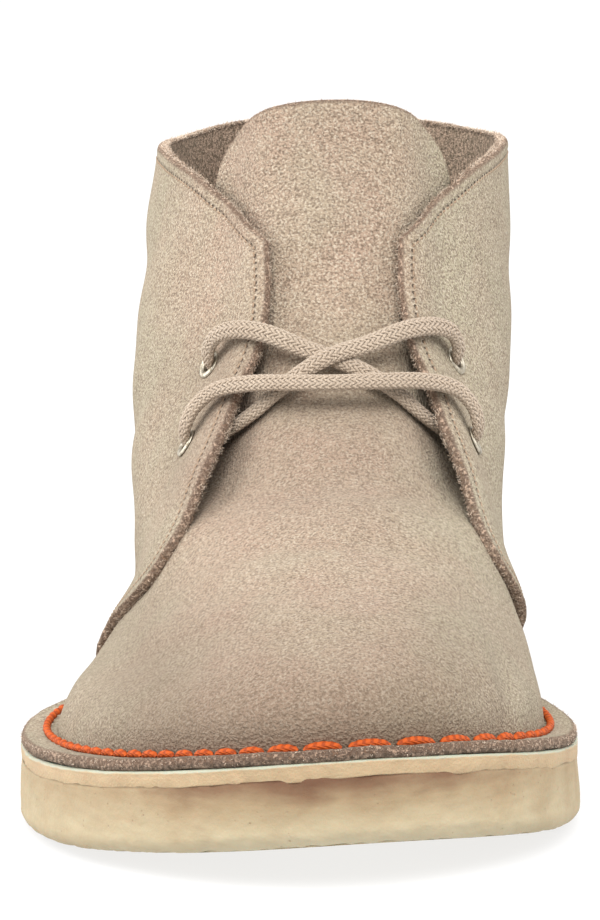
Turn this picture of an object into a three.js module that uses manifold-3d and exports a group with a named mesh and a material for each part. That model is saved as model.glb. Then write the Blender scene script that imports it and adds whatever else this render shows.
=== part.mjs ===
// A suede chukka boot for the right foot: a stitched-down upper with a tongue, on a crepe sole.
// Millimetres, +Z up, the toe towards -Y, the outer side of the foot towards -X.
// The origin is on the floor, under the middle of the boot.
import * as THREE from "three";
import { mergeVertices } from "three/addons/utils/BufferGeometryUtils.js";
import Module from "manifold-3d";

const wasm = await Module();
wasm.setup();

// Sole sizes
const LENGTH = 300; // outsole, back of the heel to the tip of the toe
const BALL_WIDTH = 112.5; // outsole across the ball
const HEEL_RADIUS = 37; // plan radius at the back of the outsole
const TOE_RADIUS = 31; // plan radius at the tip of the outsole
const OUTSOLE_THICKNESS = 13;
const OUTSOLE_ROUNDING = 3; // rounded lower edge
const MIDSOLE_THICKNESS = 2.2;
const INSOLE_THICKNESS = 3;
const HEEL_LIFT = 10; // thickness of the heel block
const HEEL_LENGTH = 78;
const HEEL_ROUNDING = 2; // rounded lower edge
const INSOLE_GAP = 0.5; // between insole and wall
const HEEL_SEAT = 45; // the sole runs level over this length, then falls to the ball
const BALL_START = 172; // the flat spot of the forefoot
const SPRING_START = 205; // the toe lifts from here
const TOE_SPRING = 9;
const TOE_TWIST = 2.8; // how much the tip of the toe tilts, up on the inner side and down on the outer
const GAP = 0.3; // between touching pieces

// Upper sizes
const SUEDE = 2.4; // thickness of the leather
const FLANGE = 6; // the turned-out edge, beyond the wall
const FLANGE_MARGIN = 0.8; // the outsole reaches this far beyond the flange
const FLANGE_BEND = 2.6; // bend from flange to wall, on the leather's underside
const WALL_RISE = 9; // height of the line where the wall turns over, above the sole
const INSTEP_RISE = 68; // ridge of the vamp above the sole, at the laces
const COLLAR_RISE = 107; // top edge at the back of the heel, above the sole
const TONGUE_RISE = 124; // top of the tongue, above the sole
const TONGUE_ROUND = 22; // height of the tongue's rounded top
const FACING_LIFT = 1.6; // how far the free facings stand off the tongue
const TONGUE_GAP = 1.8; // how far the tongue's sides stay clear of the quarters
const SEAM_BITE = 0.25; // how deep the quarters bed into the vamp where they are sewn

// Eyelets and lace
const EYELET_HOLE = 1.7; // radius
const EYELET_BARREL = 2.1;
const EYELET_RIM = 2.8;
const EYELET_SHEET = 0.5; // thickness of the metal
const EYELET_SEAT = 0.4; // between the rims and the curved leather
const LACE_WIDTH = 4.2;
const LACE_THICKNESS = 2.6;

// How finely the forms are divided
const OUTLINE_POINTS = 56;
const VAMP_COLUMNS = 28;
const QUARTER_COLUMNS = 44;
const EYELET_SEGMENTS = 16;
const STRAND_STEPS = 20;
const STRAND_SIDES = 8;

// Half widths of the outsole on each side of the heel's axis, as shares of BALL_WIDTH, at shares of LENGTH.
const OUTLINE = [
  { at: 0.05, lateral: 0.27, medial: 0.265 },
  { at: 0.12, lateral: 0.338, medial: 0.328 },
  { at: 0.25, lateral: 0.352, medial: 0.32 },
  { at: 0.35, lateral: 0.366, medial: 0.303 },
  { at: 0.45, lateral: 0.402, medial: 0.315 },
  { at: 0.55, lateral: 0.472, medial: 0.365 },
  { at: 0.65, lateral: 0.539, medial: 0.427 },
  { at: 0.72, lateral: 0.55, medial: 0.45 },
  { at: 0.8, lateral: 0.516, medial: 0.441 },
  { at: 0.88, lateral: 0.431, medial: 0.388 },
  { at: 0.95, lateral: 0.283, medial: 0.275 },
];

// How far the wall leans in over WALL_RISE, as a share of it, at shares of LENGTH. Below zero it bulges.
const WALL_LEAN = [
  { at: 0, lateral: -0.1, medial: -0.1 },
  { at: 0.3, lateral: -0.12, medial: -0.15 },
  { at: 0.5, lateral: -0.05, medial: -0.1 },
  { at: 0.65, lateral: 0.4, medial: 0.08 },
  { at: 0.8, lateral: 0.34, medial: 0.08 },
  { at: 0.93, lateral: 0.08, medial: 0.02 },
  { at: 1, lateral: -0.04, medial: -0.04 },
];

// The inside of the upper is a loft through level rings. rise is a share of INSTEP_RISE above the sole.
// back and front are shares of LENGTH. The end radii and ridge are shares of BALL_WIDTH.
// ridge is how far the front end of a ring lies towards the inner side.
const RINGS = [
  { rise: 0.25, back: 0.023, front: 0.946, backRadius: 0.24, frontRadius: 0.2, ridge: 0.02 },
  { rise: 0.37, back: 0.022, front: 0.892, backRadius: 0.24, frontRadius: 0.155, ridge: 0.026 },
  { rise: 0.485, back: 0.023, front: 0.82, backRadius: 0.24, frontRadius: 0.125, ridge: 0.03 },
  { rise: 0.62, back: 0.025, front: 0.73, backRadius: 0.24, frontRadius: 0.115, ridge: 0.032 },
  { rise: 0.8, back: 0.03, front: 0.64, backRadius: 0.235, frontRadius: 0.125, ridge: 0.032 },
  { rise: 1, back: 0.037, front: 0.573, backRadius: 0.23, frontRadius: 0.16, ridge: 0.032 },
  { rise: 1.24, back: 0.043, front: 0.53, backRadius: 0.225, frontRadius: 0.2, ridge: 0.032 },
  { rise: 1.53, back: 0.05, front: 0.5, backRadius: 0.22, frontRadius: 0.215, ridge: 0.032 },
  { rise: 1.85, back: 0.053, front: 0.48, backRadius: 0.22, frontRadius: 0.22, ridge: 0.032 },
];
// Half widths of the same rings on each side of the heel's axis, as shares of BALL_WIDTH.
const LATERAL_WIDTHS = [
  { rise: 0.25, heel: 0.277, waist: 0.332, fore: 0.364 },
  { rise: 0.37, heel: 0.281, waist: 0.332, fore: 0.319 },
  { rise: 0.485, heel: 0.286, waist: 0.34, fore: 0.314 },
  { rise: 0.62, heel: 0.29, waist: 0.341, fore: 0.32 },
  { rise: 0.8, heel: 0.288, waist: 0.336, fore: 0.325 },
  { rise: 1, heel: 0.282, waist: 0.332, fore: 0.316 },
  { rise: 1.24, heel: 0.27, waist: 0.324, fore: 0.3 },
  { rise: 1.53, heel: 0.25, waist: 0.296, fore: 0.274 },
  { rise: 1.85, heel: 0.24, waist: 0.28, fore: 0.26 },
];
const MEDIAL_WIDTHS = [
  { rise: 0.25, heel: 0.263, waist: 0.262, fore: 0.345 },
  { rise: 0.37, heel: 0.272, waist: 0.28, fore: 0.323 },
  { rise: 0.485, heel: 0.277, waist: 0.298, fore: 0.314 },
  { rise: 0.62, heel: 0.281, waist: 0.312, fore: 0.316 },
  { rise: 0.8, heel: 0.29, waist: 0.33, fore: 0.33 },
  { rise: 1, heel: 0.3, waist: 0.349, fore: 0.34 },
  { rise: 1.24, heel: 0.305, waist: 0.361, fore: 0.337 },
  { rise: 1.53, heel: 0.31, waist: 0.362, fore: 0.336 },
  { rise: 1.85, heel: 0.312, waist: 0.364, fore: 0.336 },
];
const WIDTH_PLACES = { heel: 0.2, waist: 0.45, fore: 0.7 }; // shares of a ring's length

// Front edge of the quarters. rise is a share of INSTEP_RISE.
// turn is the share of the way round from the back of the heel to the ridge.
const QUARTER_EDGE = [
  { rise: 0, turn: 0.564 },
  { rise: 0.2, turn: 0.605 },
  { rise: 0.35, turn: 0.657 },
  { rise: 0.46, turn: 0.708 },
  { rise: 0.63, turn: 0.775 },
  { rise: 0.8, turn: 0.827 },
  { rise: 0.92, turn: 0.856 },
  { rise: 1.02, turn: 0.883 },
  { rise: 1.12, turn: 0.9 },
  { rise: 1.25, turn: 0.908 },
  { rise: 1.4, turn: 0.906 },
];
// Side edge of the vamp, which runs under the quarters and on up the tongue, in the same terms.
const VAMP_EDGE = [
  { rise: 0, turn: 0.53 },
  { rise: 0.2, turn: 0.566 },
  { rise: 0.35, turn: 0.607 },
  { rise: 0.46, turn: 0.64 },
  { rise: 0.63, turn: 0.69 },
  { rise: 0.8, turn: 0.735 },
  { rise: 0.92, turn: 0.757 },
  { rise: 1.02, turn: 0.765 },
  { rise: 1.25, turn: 0.755 },
  { rise: 1.5, turn: 0.748 },
  { rise: 1.9, turn: 0.744 },
];
// Top edge of the quarters, as a share of COLLAR_RISE, at shares of the way round from the heel to the ridge.
const COLLAR = [
  { at: 0, rise: 1 },
  { at: 0.15, rise: 0.99 },
  { at: 0.33, rise: 0.97 },
  { at: 0.44, rise: 0.978 },
  { at: 0.535, rise: 0.992 },
  { at: 0.62, rise: 1 },
  { at: 0.72, rise: 0.993 },
  { at: 0.79, rise: 0.966 },
  { at: 0.84, rise: 0.938 },
  { at: 0.88, rise: 0.902 },
  { at: 0.91, rise: 0.872 },
];
// The eyelets, on each side: rise is a share of INSTEP_RISE, across the share of a turn from the ridge.
const EYELETS = {
  upper: { rise: 1.01, across: 0.208 },
  lower: { rise: 0.78, across: 0.242 },
};
// Paths of the lace in the same terms. lift is the height of its middle above the upper's inside, in mm.
// Each crossing strand comes down out of one upper eyelet and goes in under the other facing.
const CROSSING = [
  { across: -0.208, rise: 0.995, lift: 5.2 },
  { across: -0.17, rise: 1.07, lift: 7.2 },
  { across: -0.13, rise: 1.09, lift: 8.4 },
  { across: -0.09, rise: 1.075, lift: 8.1 },
  { across: -0.045, rise: 1.04, lift: 6.3 },
  { across: 0, rise: 1.01, lift: 5.6 },
  { across: 0.04, rise: 0.975, lift: 5.4 },
  { across: 0.07, rise: 0.94, lift: 5.8 },
  { across: 0.095, rise: 0.915, lift: 6.9 },
];
const CROSSING_OVER = 1.6; // the strand from the inner side runs this much higher
const BAR = [
  { across: -0.242, rise: 0.765, lift: 6.6 },
  { across: -0.21, rise: 0.84, lift: 8.4 },
  { across: -0.17, rise: 0.895, lift: 9 },
  { across: -0.12, rise: 0.91, lift: 8.8 },
  { across: 0, rise: 0.91, lift: 8.4 },
  { across: 0.12, rise: 0.91, lift: 8.8 },
  { across: 0.17, rise: 0.895, lift: 9 },
  { across: 0.21, rise: 0.84, lift: 8.4 },
  { across: 0.242, rise: 0.765, lift: 6.6 },
];

const LATERAL = -1;
const MEDIAL = 1;
const sideName = (side) => (side === LATERAL ? "lateral" : "medial");

// A column's value on a smooth curve through the rows of a table, and straight on past its ends.
function along(rows, key, column, at) {
  const last = rows.length - 1;
  const slope = (i) => {
    const before = rows[Math.max(i - 1, 0)];
    const after = rows[Math.min(i + 1, last)];
    return (after[column] - before[column]) / (after[key] - before[key]);
  };
  if (at <= rows[0][key]) return rows[0][column] + slope(0) * (at - rows[0][key]);
  if (at >= rows[last][key]) return rows[last][column] + slope(last) * (at - rows[last][key]);
  let i = 0;
  while (at > rows[i + 1][key]) i += 1;
  const step = rows[i + 1][key] - rows[i][key];
  const t = (at - rows[i][key]) / step;
  const rise = rows[i + 1][column] - rows[i][column];
  const bend = (1 - t) * (slope(i) * step - rise) - t * (slope(i + 1) * step - rise);
  return rows[i][column] + t * rise + t * (1 - t) * bend;
}

const ease = (low, high, at) => THREE.MathUtils.smoothstep(at, low, high);

// Sole: levels along the length. station is measured from the back of the heel.
const springAt = (station) => Math.max(0, (station - SPRING_START) / (LENGTH - SPRING_START)) ** 2;
function soleBottom(station, x) {
  const fall = 1 - ease(HEEL_SEAT, BALL_START, station);
  const twist = (TOE_TWIST * x) / (BALL_WIDTH / 2);
  return HEEL_LIFT * fall + (TOE_SPRING + twist) * springAt(station);
}
const outsoleTop = (station, x) => soleBottom(station, x) + OUTSOLE_THICKNESS;
const midsoleTop = (station, x) => outsoleTop(station, x) + GAP + MIDSOLE_THICKNESS;
const lastBottom = (station, x) => midsoleTop(station, x) + GAP;

// Turn, from 0 at the heel to 1 at the toe, at a share of the length, and back again.
const turnAt = (share) => Math.acos(1 - 2 * share) / Math.PI;
const shareAt = (turn) => (1 - Math.cos(Math.PI * turn)) / 2;

// Fullness is the half width over the sine of the turn. It stays finite at a round end of a given radius.
const endFullness = (radius, length) => Math.sqrt((radius * length) / 2);
const rowFullness = (share, half) => half / Math.sin(Math.PI * turnAt(share));

const OUTLINE_FULLNESS = [
  { turn: 0, lateral: endFullness(HEEL_RADIUS, LENGTH), medial: endFullness(HEEL_RADIUS, LENGTH) },
  ...OUTLINE.map((row) => ({
    turn: turnAt(row.at),
    lateral: rowFullness(row.at, row.lateral * BALL_WIDTH),
    medial: rowFullness(row.at, row.medial * BALL_WIDTH),
  })),
  { turn: 1, lateral: endFullness(TOE_RADIUS, LENGTH), medial: endFullness(TOE_RADIUS, LENGTH) },
];

// A point of the outsole's outline in plan: x sideways, y along the length from the heel.
function outlinePoint(side, turn) {
  const fullness = along(OUTLINE_FULLNESS, "turn", sideName(side), turn);
  const half = fullness * Math.sin(Math.PI * turn);
  return new THREE.Vector2(side * half, LENGTH * shareAt(turn));
}

// The same outline moved inwards, along its own normal.
function insetOutline(side, turn, inset) {
  const step = 0.004;
  const before = turn < step ? outlinePoint(-side, step - turn) : outlinePoint(side, turn - step);
  const after = turn > 1 - step ? outlinePoint(-side, 2 - step - turn) : outlinePoint(side, turn + step);
  const tangent = after.sub(before).normalize();
  const inward = new THREE.Vector2(-side * tangent.y, side * tangent.x);
  return outlinePoint(side, turn).addScaledVector(inward, inset);
}

// A point of a level ring of the upper's inside, in plan.
function ringPoint(ring, side, turn) {
  const length = (ring.front - ring.back) * LENGTH;
  const ridgeAt = (share) => ring.ridge * BALL_WIDTH * share;
  const widths = (side === LATERAL ? LATERAL_WIDTHS : MEDIAL_WIDTHS).find((row) => row.rise === ring.rise);
  const stations = [
    { turn: 0, fullness: endFullness(ring.backRadius * BALL_WIDTH, length) },
    ...Object.entries(WIDTH_PLACES).map(([name, share]) => ({
      turn: turnAt(share),
      fullness: rowFullness(share, widths[name] * BALL_WIDTH - side * ridgeAt(share)),
    })),
    { turn: 1, fullness: endFullness(ring.frontRadius * BALL_WIDTH, length) },
  ];
  const half = along(stations, "turn", "fullness", turn) * Math.sin(Math.PI * turn);
  return new THREE.Vector2(ridgeAt(shareAt(turn)) + side * half, ring.back * LENGTH + length * shareAt(turn));
}

// The inside of the upper, as a function of side, turn and height above the sole.
const FEATHER_INSET = FLANGE_MARGIN + FLANGE + SUEDE;
const ringCache = new Map();
function ringsAt(side, turn) {
  const key = side * (1 + turn);
  if (!ringCache.has(key)) {
    const feather = insetOutline(side, turn, FEATHER_INSET);
    const lean = along(WALL_LEAN, "at", sideName(side), shareAt(turn)) * WALL_RISE;
    const widest = insetOutline(side, turn, FEATHER_INSET + lean);
    const rows = [
      { rise: 0, x: feather.x, y: feather.y },
      { rise: WALL_RISE, x: widest.x, y: widest.y },
      ...RINGS.map((row) => {
        const point = ringPoint(row, side, turn);
        return { rise: row.rise * INSTEP_RISE, x: point.x, y: point.y };
      }),
    ];
    ringCache.set(key, rows);
  }
  return ringCache.get(key);
}
function lastPoint(side, turn, rise) {
  const rings = ringsAt(side, turn);
  const x = along(rings, "rise", "x", rise);
  const station = along(rings, "rise", "y", rise);
  return new THREE.Vector3(x, station, lastBottom(station, x) + rise);
}

// The underside of the leather: the flange, its bend and the wall. level below 0 is the bend and the flange.
function leatherPoint(side, turn, level) {
  if (level >= 0) return lastPoint(side, turn, FLANGE_BEND + level);
  const foot = lastPoint(side, turn, FLANGE_BEND);
  const out = insetOutline(side, turn, 0).sub(insetOutline(side, turn, 1));
  const flangeEnd = FLANGE + SUEDE;
  const angle = Math.min(1, -level) * (Math.PI / 2);
  const reach = level < -1 ? flangeEnd : FLANGE_BEND * (1 - Math.cos(angle));
  const rise = FLANGE_BEND * (1 - Math.sin(angle));
  const x = foot.x + out.x * reach;
  const station = foot.y + out.y * reach;
  return new THREE.Vector3(x, station, lastBottom(station, x) + rise);
}

// Shoe coordinates to the part's frame.
const WIDE = (side) => Math.max(...OUTLINE.map((row) => row[sideName(side)])) * BALL_WIDTH;
const AXIS_SHIFT = (WIDE(LATERAL) - WIDE(MEDIAL)) / 2;
const place = (p) => [p.x + AXIS_SHIFT, LENGTH / 2 - p.y, p.z];

function geometryOf(points, faces) {
  const geometry = new THREE.BufferGeometry();
  geometry.setAttribute("position", new THREE.Float32BufferAttribute(points.flatMap(place), 3));
  geometry.setIndex(faces.flatMap(([a, b, c]) => [a, c, b])); // the frame's y runs against the station
  return geometry;
}

function solidOf(source) {
  const geometry = source.clone();
  geometry.deleteAttribute("normal");
  geometry.deleteAttribute("uv");
  const merged = mergeVertices(geometry, 1e-4);
  return new wasm.Manifold(
    new wasm.Mesh({
      numProp: 3,
      vertProperties: merged.attributes.position.array,
      triVerts: new Uint32Array(merged.index.array),
    }),
  );
}

function geometryFrom(solid) {
  const mesh = solid.getMesh();
  const geometry = new THREE.BufferGeometry();
  geometry.setAttribute("position", new THREE.BufferAttribute(new Float32Array(mesh.vertProperties), 3));
  geometry.setIndex(new THREE.BufferAttribute(new Uint32Array(mesh.triVerts), 1));
  return geometry;
}

const quad = (a, b, c, d) => [
  [a, b, c],
  [a, c, d],
];

// A closed slab from rings of points, lowest first. The caps are strips from side to side.
function slab(rings) {
  const count = rings[0].length;
  const faces = [];
  for (let r = 0; r + 1 < rings.length; r += 1)
    for (let k = 0; k < count; k += 1) {
      const next = (k + 1) % count;
      faces.push(...quad(r * count + k, r * count + next, (r + 1) * count + next, (r + 1) * count + k));
    }
  const top = (rings.length - 1) * count;
  for (let k = 0; k < count / 2; k += 1) {
    const [a, b] = [k, k + 1];
    const [c, d] = [count - k - 1, (count - k) % count];
    faces.push([a, c, b], [top + a, top + b, top + c]);
    if (d !== a) faces.push([a, d, c], [top + a, top + c, top + d]);
  }
  return geometryOf(rings.flat(), faces.filter(([a, b, c]) => a !== b && b !== c && c !== a));
}

// One closed ring of the outline, moved inwards, at a height given by a function of the station.
function outlineRing(insetAt, height) {
  return Array.from({ length: OUTLINE_POINTS }, (_, k) => {
    const way = (2 * k) / OUTLINE_POINTS;
    const side = way <= 1 ? MEDIAL : LATERAL;
    const turn = way <= 1 ? way : 2 - way;
    const point = insetOutline(side, turn, insetAt(LENGTH * shareAt(turn)));
    return new THREE.Vector3(point.x, point.y, height(point.y, point.x));
  });
}

// A closed sheet of leather from a grid of points on its underside, between two distances from it.
function sheet(grid, near, far) {
  const rows = grid.length;
  const columns = grid[0].length;
  const [end, last] = [rows - 1, columns - 1];
  const normalAt = (i, j) => {
    const across = grid[i][Math.min(j + 1, last)].clone().sub(grid[i][Math.max(j - 1, 0)]);
    const up = grid[Math.min(i + 1, end)][j].clone().sub(grid[Math.max(i - 1, 0)][j]);
    return up.cross(across).normalize();
  };
  const layer = (distance) =>
    grid.flatMap((row, i) => row.map((p, j) => p.clone().addScaledVector(normalAt(i, j), distance(i, j))));
  const points = [...layer(near), ...layer(far)];
  const inner = (i, j) => i * columns + j;
  const outer = (i, j) => rows * columns + inner(i, j);
  const faces = [];
  for (let i = 0; i + 1 < rows; i += 1)
    for (let j = 0; j + 1 < columns; j += 1) {
      faces.push(...quad(outer(i, j), outer(i + 1, j), outer(i + 1, j + 1), outer(i, j + 1)));
      faces.push(...quad(inner(i, j), inner(i, j + 1), inner(i + 1, j + 1), inner(i + 1, j)));
    }
  for (let j = 0; j + 1 < columns; j += 1) {
    faces.push(...quad(inner(0, j), outer(0, j), outer(0, j + 1), inner(0, j + 1)));
    faces.push(...quad(inner(end, j), inner(end, j + 1), outer(end, j + 1), outer(end, j)));
  }
  for (let i = 0; i + 1 < rows; i += 1) {
    faces.push(...quad(inner(i, 0), inner(i + 1, 0), outer(i + 1, 0), outer(i, 0)));
    faces.push(...quad(inner(i, last), outer(i, last), outer(i + 1, last), inner(i + 1, last)));
  }
  return geometryOf(points, faces);
}

// Levels of a sheet's rows: the flange's edge, the bend, then shares of the wall.
const FLANGE_LEVELS = [-2, -1, -0.66, -0.33];
function edgeTurn(rows, rise) {
  return along(rows, "rise", "turn", Math.min(rise / INSTEP_RISE, rows[rows.length - 1].rise));
}

const VAMP_SHARES = [
  0, 0.04, 0.09, 0.135, 0.175, 0.215, 0.26, 0.31, 0.37, 0.44, 0.52, 0.6, 0.68, 0.76, 0.84, 0.92, 1,
];
function vampGrid() {
  const tongueTop = (across) => TONGUE_RISE - TONGUE_ROUND * (1 - Math.sqrt(1 - across * across));
  const columns = Array.from({ length: VAMP_COLUMNS + 1 }, (_, j) => (2 * j) / VAMP_COLUMNS - 1);
  const row = (level, share) =>
    columns.map((across) => {
      const side = across < 0 ? LATERAL : MEDIAL;
      const height = share * (tongueTop(across) - FLANGE_BEND);
      const rise = level < 0 ? 0 : FLANGE_BEND + height;
      const turn = 1 - Math.abs(across) * (1 - edgeTurn(VAMP_EDGE, rise));
      return { point: leatherPoint(side, turn, level < 0 ? level : height), across, rise };
    });
  return [...FLANGE_LEVELS.map((level) => row(level, 0)), ...VAMP_SHARES.map((share) => row(0, share))];
}

const QUARTER_SHARES = [0, 0.05, 0.11, 0.18, 0.26, 0.34, 0.42, 0.5, 0.58, 0.67, 0.76, 0.84, 0.92, 1];
function quarterGrid() {
  // The columns stand closer together towards the facings.
  const columns = Array.from({ length: QUARTER_COLUMNS + 1 }, (_, j) => {
    const even = 1 - (2 * j) / QUARTER_COLUMNS;
    return 0.5 * even + 0.5 * Math.sin((even * Math.PI) / 2);
  });
  const row = (level, share) =>
    columns.map((around) => {
      const side = around > 0 ? MEDIAL : LATERAL;
      let turn = Math.abs(around) * edgeTurn(QUARTER_EDGE, 0);
      let height = 0;
      for (let pass = 0; pass < 6; pass += 1) {
        height = share * (along(COLLAR, "at", "rise", turn) * COLLAR_RISE - FLANGE_BEND);
        turn = Math.abs(around) * edgeTurn(QUARTER_EDGE, level < 0 ? 0 : FLANGE_BEND + height);
      }
      const rise = level < 0 ? 0 : FLANGE_BEND + height;
      return { point: leatherPoint(side, turn, level < 0 ? level : height), side, turn, rise };
    });
  return [...FLANGE_LEVELS.map((level) => row(level, 0)), ...QUARTER_SHARES.map((share) => row(0, share))];
}

// How far the quarters lie off the last: over the vamp near their front edge, and on the last further back.
const THROAT_RISE = 0.54 * INSTEP_RISE;
const FREE_RISE = 12; // the lap opens over this height above the throat
const LAP_TURN = 0.1; // the quarters settle onto the last over this share of a turn
const pointsOf = (cells) => cells.map((row) => row.map((cell) => cell.point));
function quarterLift({ side, turn, rise }) {
  const fromEdge = edgeTurn(QUARTER_EDGE, rise) - turn;
  const lap = 1 - ease(0.01, LAP_TURN, fromEdge);
  const free = ease(0, FREE_RISE, rise - THROAT_RISE);
  const over = SUEDE - SEAM_BITE + free * (SEAM_BITE + FACING_LIFT);
  return lap * over;
}

// How far the tongue's sides draw in, clear of the facings.
function tongueDip({ across, rise }) {
  const free = ease(0, FREE_RISE, rise - THROAT_RISE);
  return -free * (SUEDE + TONGUE_GAP) * ease(0.35, 0.85, Math.abs(across));
}

function upperSolid() {
  const vampCells = vampGrid();
  const dip = (i, j) => tongueDip(vampCells[i][j]);
  const vamp = solidOf(sheet(pointsOf(vampCells), dip, (i, j) => dip(i, j) + SUEDE));
  const quarterCells = quarterGrid();
  const lift = (i, j) => quarterLift(quarterCells[i][j]);
  const quarters = solidOf(sheet(pointsOf(quarterCells), lift, (i, j) => lift(i, j) + SUEDE));
  // Pockets shut in under the lap are filled: only the outermost surface is kept.
  const joined = vamp.add(quarters).decompose().sort((a, b) => b.volume() - a.volume())[0];
  return eyeletPlaces().reduce((solid, eyelet) => solid.subtract(solidOf(eyeletHole(eyelet))), joined);
}

// The heel block's outline: round the back of the outsole to the breast, which is straight across.
const HEEL_STEPS = 12;
function heelRing(inset, height) {
  const end = turnAt(HEEL_LENGTH / LENGTH);
  const turns = Array.from({ length: HEEL_STEPS + 1 }, (_, k) => (end * k) / HEEL_STEPS);
  const inner = turns.map((turn) => insetOutline(MEDIAL, turn, inset));
  const outer = turns.slice(1).map((turn) => insetOutline(LATERAL, turn, inset));
  const breast = inner[HEEL_STEPS].clone().add(outer[HEEL_STEPS - 1]).divideScalar(2);
  return [...inner, breast, ...outer.reverse()].map((p) => new THREE.Vector3(p.x, p.y, height(p.y, p.x)));
}

// The insole fills the inside of the upper, close to the wall.
function insoleRing(rise) {
  return Array.from({ length: OUTLINE_POINTS }, (_, k) => {
    const way = (2 * k) / OUTLINE_POINTS;
    const side = way <= 1 ? MEDIAL : LATERAL;
    const turn = way <= 1 ? way : 2 - way;
    const wall = lastPoint(side, turn, rise);
    const inward = insetOutline(side, turn, 1).sub(insetOutline(side, turn, 0));
    const x = wall.x + inward.x * INSOLE_GAP;
    const station = wall.y + inward.y * INSOLE_GAP;
    return new THREE.Vector3(x, station, lastBottom(station, x) + rise);
  });
}

// A point off the upper's inside: how far across from the ridge, how high and how far along the normal.
function surfaceAt(across, rise, lift) {
  const at = (a, r) => lastPoint(a < 0 ? LATERAL : MEDIAL, 1 - Math.abs(a), r);
  const step = 0.01;
  const sideways = at(across + step, rise).sub(at(across - step, rise));
  const upwards = at(across, rise + 1).sub(at(across, rise - 1));
  const normal = upwards.cross(sideways).normalize();
  return { point: at(across, rise).addScaledVector(normal, lift), normal };
}

// A place on the inside of a facing, with the direction out through it.
function facingAt(side, across, rise) {
  const at = (a, r) => surfaceAt(side * a, r, quarterLift({ side, turn: 1 - a, rise: r })).point;
  const [stepAcross, stepRise] = [0.012, 2];
  const sideways = at(across + stepAcross, rise).sub(at(across - stepAcross, rise));
  const upwards = at(across, rise + stepRise).sub(at(across, rise - stepRise));
  const normal = upwards.cross(sideways).multiplyScalar(side).normalize();
  return { point: at(across, rise), normal };
}

// Eyelets: a rolled ring through the facing, with a rim outside and a smaller one inside.
function eyeletPlaces() {
  return [LATERAL, MEDIAL].flatMap((side) =>
    Object.entries(EYELETS).map(([level, { rise, across }]) => {
      return { side, level, ...facingAt(side, across, rise * INSTEP_RISE) };
    }),
  );
}
function alongNormal(geometry, { point, normal }) {
  const axis = new THREE.Vector3(normal.x, -normal.y, normal.z);
  geometry.applyQuaternion(new THREE.Quaternion().setFromUnitVectors(new THREE.Vector3(0, 1, 0), axis));
  return geometry.translate(...place(point));
}
function eyeletRing(eyelet) {
  const [under, over] = [-EYELET_SEAT, SUEDE + EYELET_SEAT];
  const profile = [
    [EYELET_HOLE, under - EYELET_SHEET],
    [EYELET_RIM * 0.9, under - EYELET_SHEET],
    [EYELET_RIM * 0.9, under],
    [EYELET_BARREL, under],
    [EYELET_BARREL, over],
    [EYELET_RIM, over],
    [EYELET_RIM, over + EYELET_SHEET * 0.5],
    [(EYELET_RIM + EYELET_HOLE) / 2, over + EYELET_SHEET],
    [EYELET_HOLE, over + EYELET_SHEET * 0.5],
    [EYELET_HOLE, under - EYELET_SHEET],
  ];
  const points = profile.map(([r, y]) => new THREE.Vector2(r, y));
  return alongNormal(new THREE.LatheGeometry(points, EYELET_SEGMENTS), eyelet);
}
function eyeletHole(eyelet) {
  const radius = EYELET_BARREL + GAP;
  const punch = new THREE.CylinderGeometry(radius, radius, 4 * SUEDE, EYELET_SEGMENTS);
  return alongNormal(punch.translate(0, SUEDE / 2, 0), eyelet);
}

// A strand of lace: a flat oval swept along a path close to the upper.
function strand(rows, mirror, higher) {
  const placeOf = (row) => surfaceAt(mirror * row.across, row.rise * INSTEP_RISE, row.lift + higher(row));
  const places = rows.map(placeOf);
  const curve = new THREE.CatmullRomCurve3(places.map((place) => place.point), false, "centripetal");
  const rings = Array.from({ length: STRAND_STEPS + 1 }, (_, i) => {
    const t = i / STRAND_STEPS;
    const near = t * (places.length - 1);
    const [a, b] = [Math.floor(near), Math.min(Math.floor(near) + 1, places.length - 1)];
    const normal = places[a].normal.clone().lerp(places[b].normal, near - a);
    const tangent = curve.getTangent(t);
    const flat = normal.clone().cross(tangent).normalize();
    const upright = tangent.clone().cross(flat).normalize();
    return Array.from({ length: STRAND_SIDES }, (_, k) => {
      const angle = (2 * Math.PI * (k + 0.5)) / STRAND_SIDES;
      return curve
        .getPoint(t)
        .addScaledVector(flat, (Math.cos(angle) * LACE_WIDTH) / 2)
        .addScaledVector(upright, (Math.sin(angle) * LACE_THICKNESS) / 2);
    });
  });
  return solidOf(slab(rings));
}
function laceSolid() {
  const over = (row) => CROSSING_OVER * Math.exp(-((row.across / 0.07) ** 2));
  const first = strand(CROSSING, 1, () => 0);
  const second = strand(CROSSING, -1, over);
  return first.add(second).add(strand(BAR, 1, () => 0));
}

// Materials
const suede = new THREE.MeshStandardMaterial({ color: 0xc0ab90, roughness: 0.95, metalness: 0 });
const crepe = new THREE.MeshStandardMaterial({ color: 0xc8b087, roughness: 0.6, metalness: 0 });
const heelCrepe = new THREE.MeshStandardMaterial({ color: 0xc3aa80, roughness: 0.65, metalness: 0 });
const midsoleRubber = new THREE.MeshStandardMaterial({ color: 0xcbb48c, roughness: 0.7, metalness: 0 });
const insoleLeather = new THREE.MeshStandardMaterial({ color: 0xa98a66, roughness: 0.8, metalness: 0 });
const metal = new THREE.MeshStandardMaterial({ color: 0xb9b4a8, roughness: 0.35, metalness: 1 });
const cotton = new THREE.MeshStandardMaterial({ color: 0xb9a68c, roughness: 0.9, metalness: 0 });

const boot = new THREE.Group();
function addPiece(name, geometry, material) {
  const mesh = new THREE.Mesh(geometry, material);
  mesh.name = name;
  boot.add(mesh);
}

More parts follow.
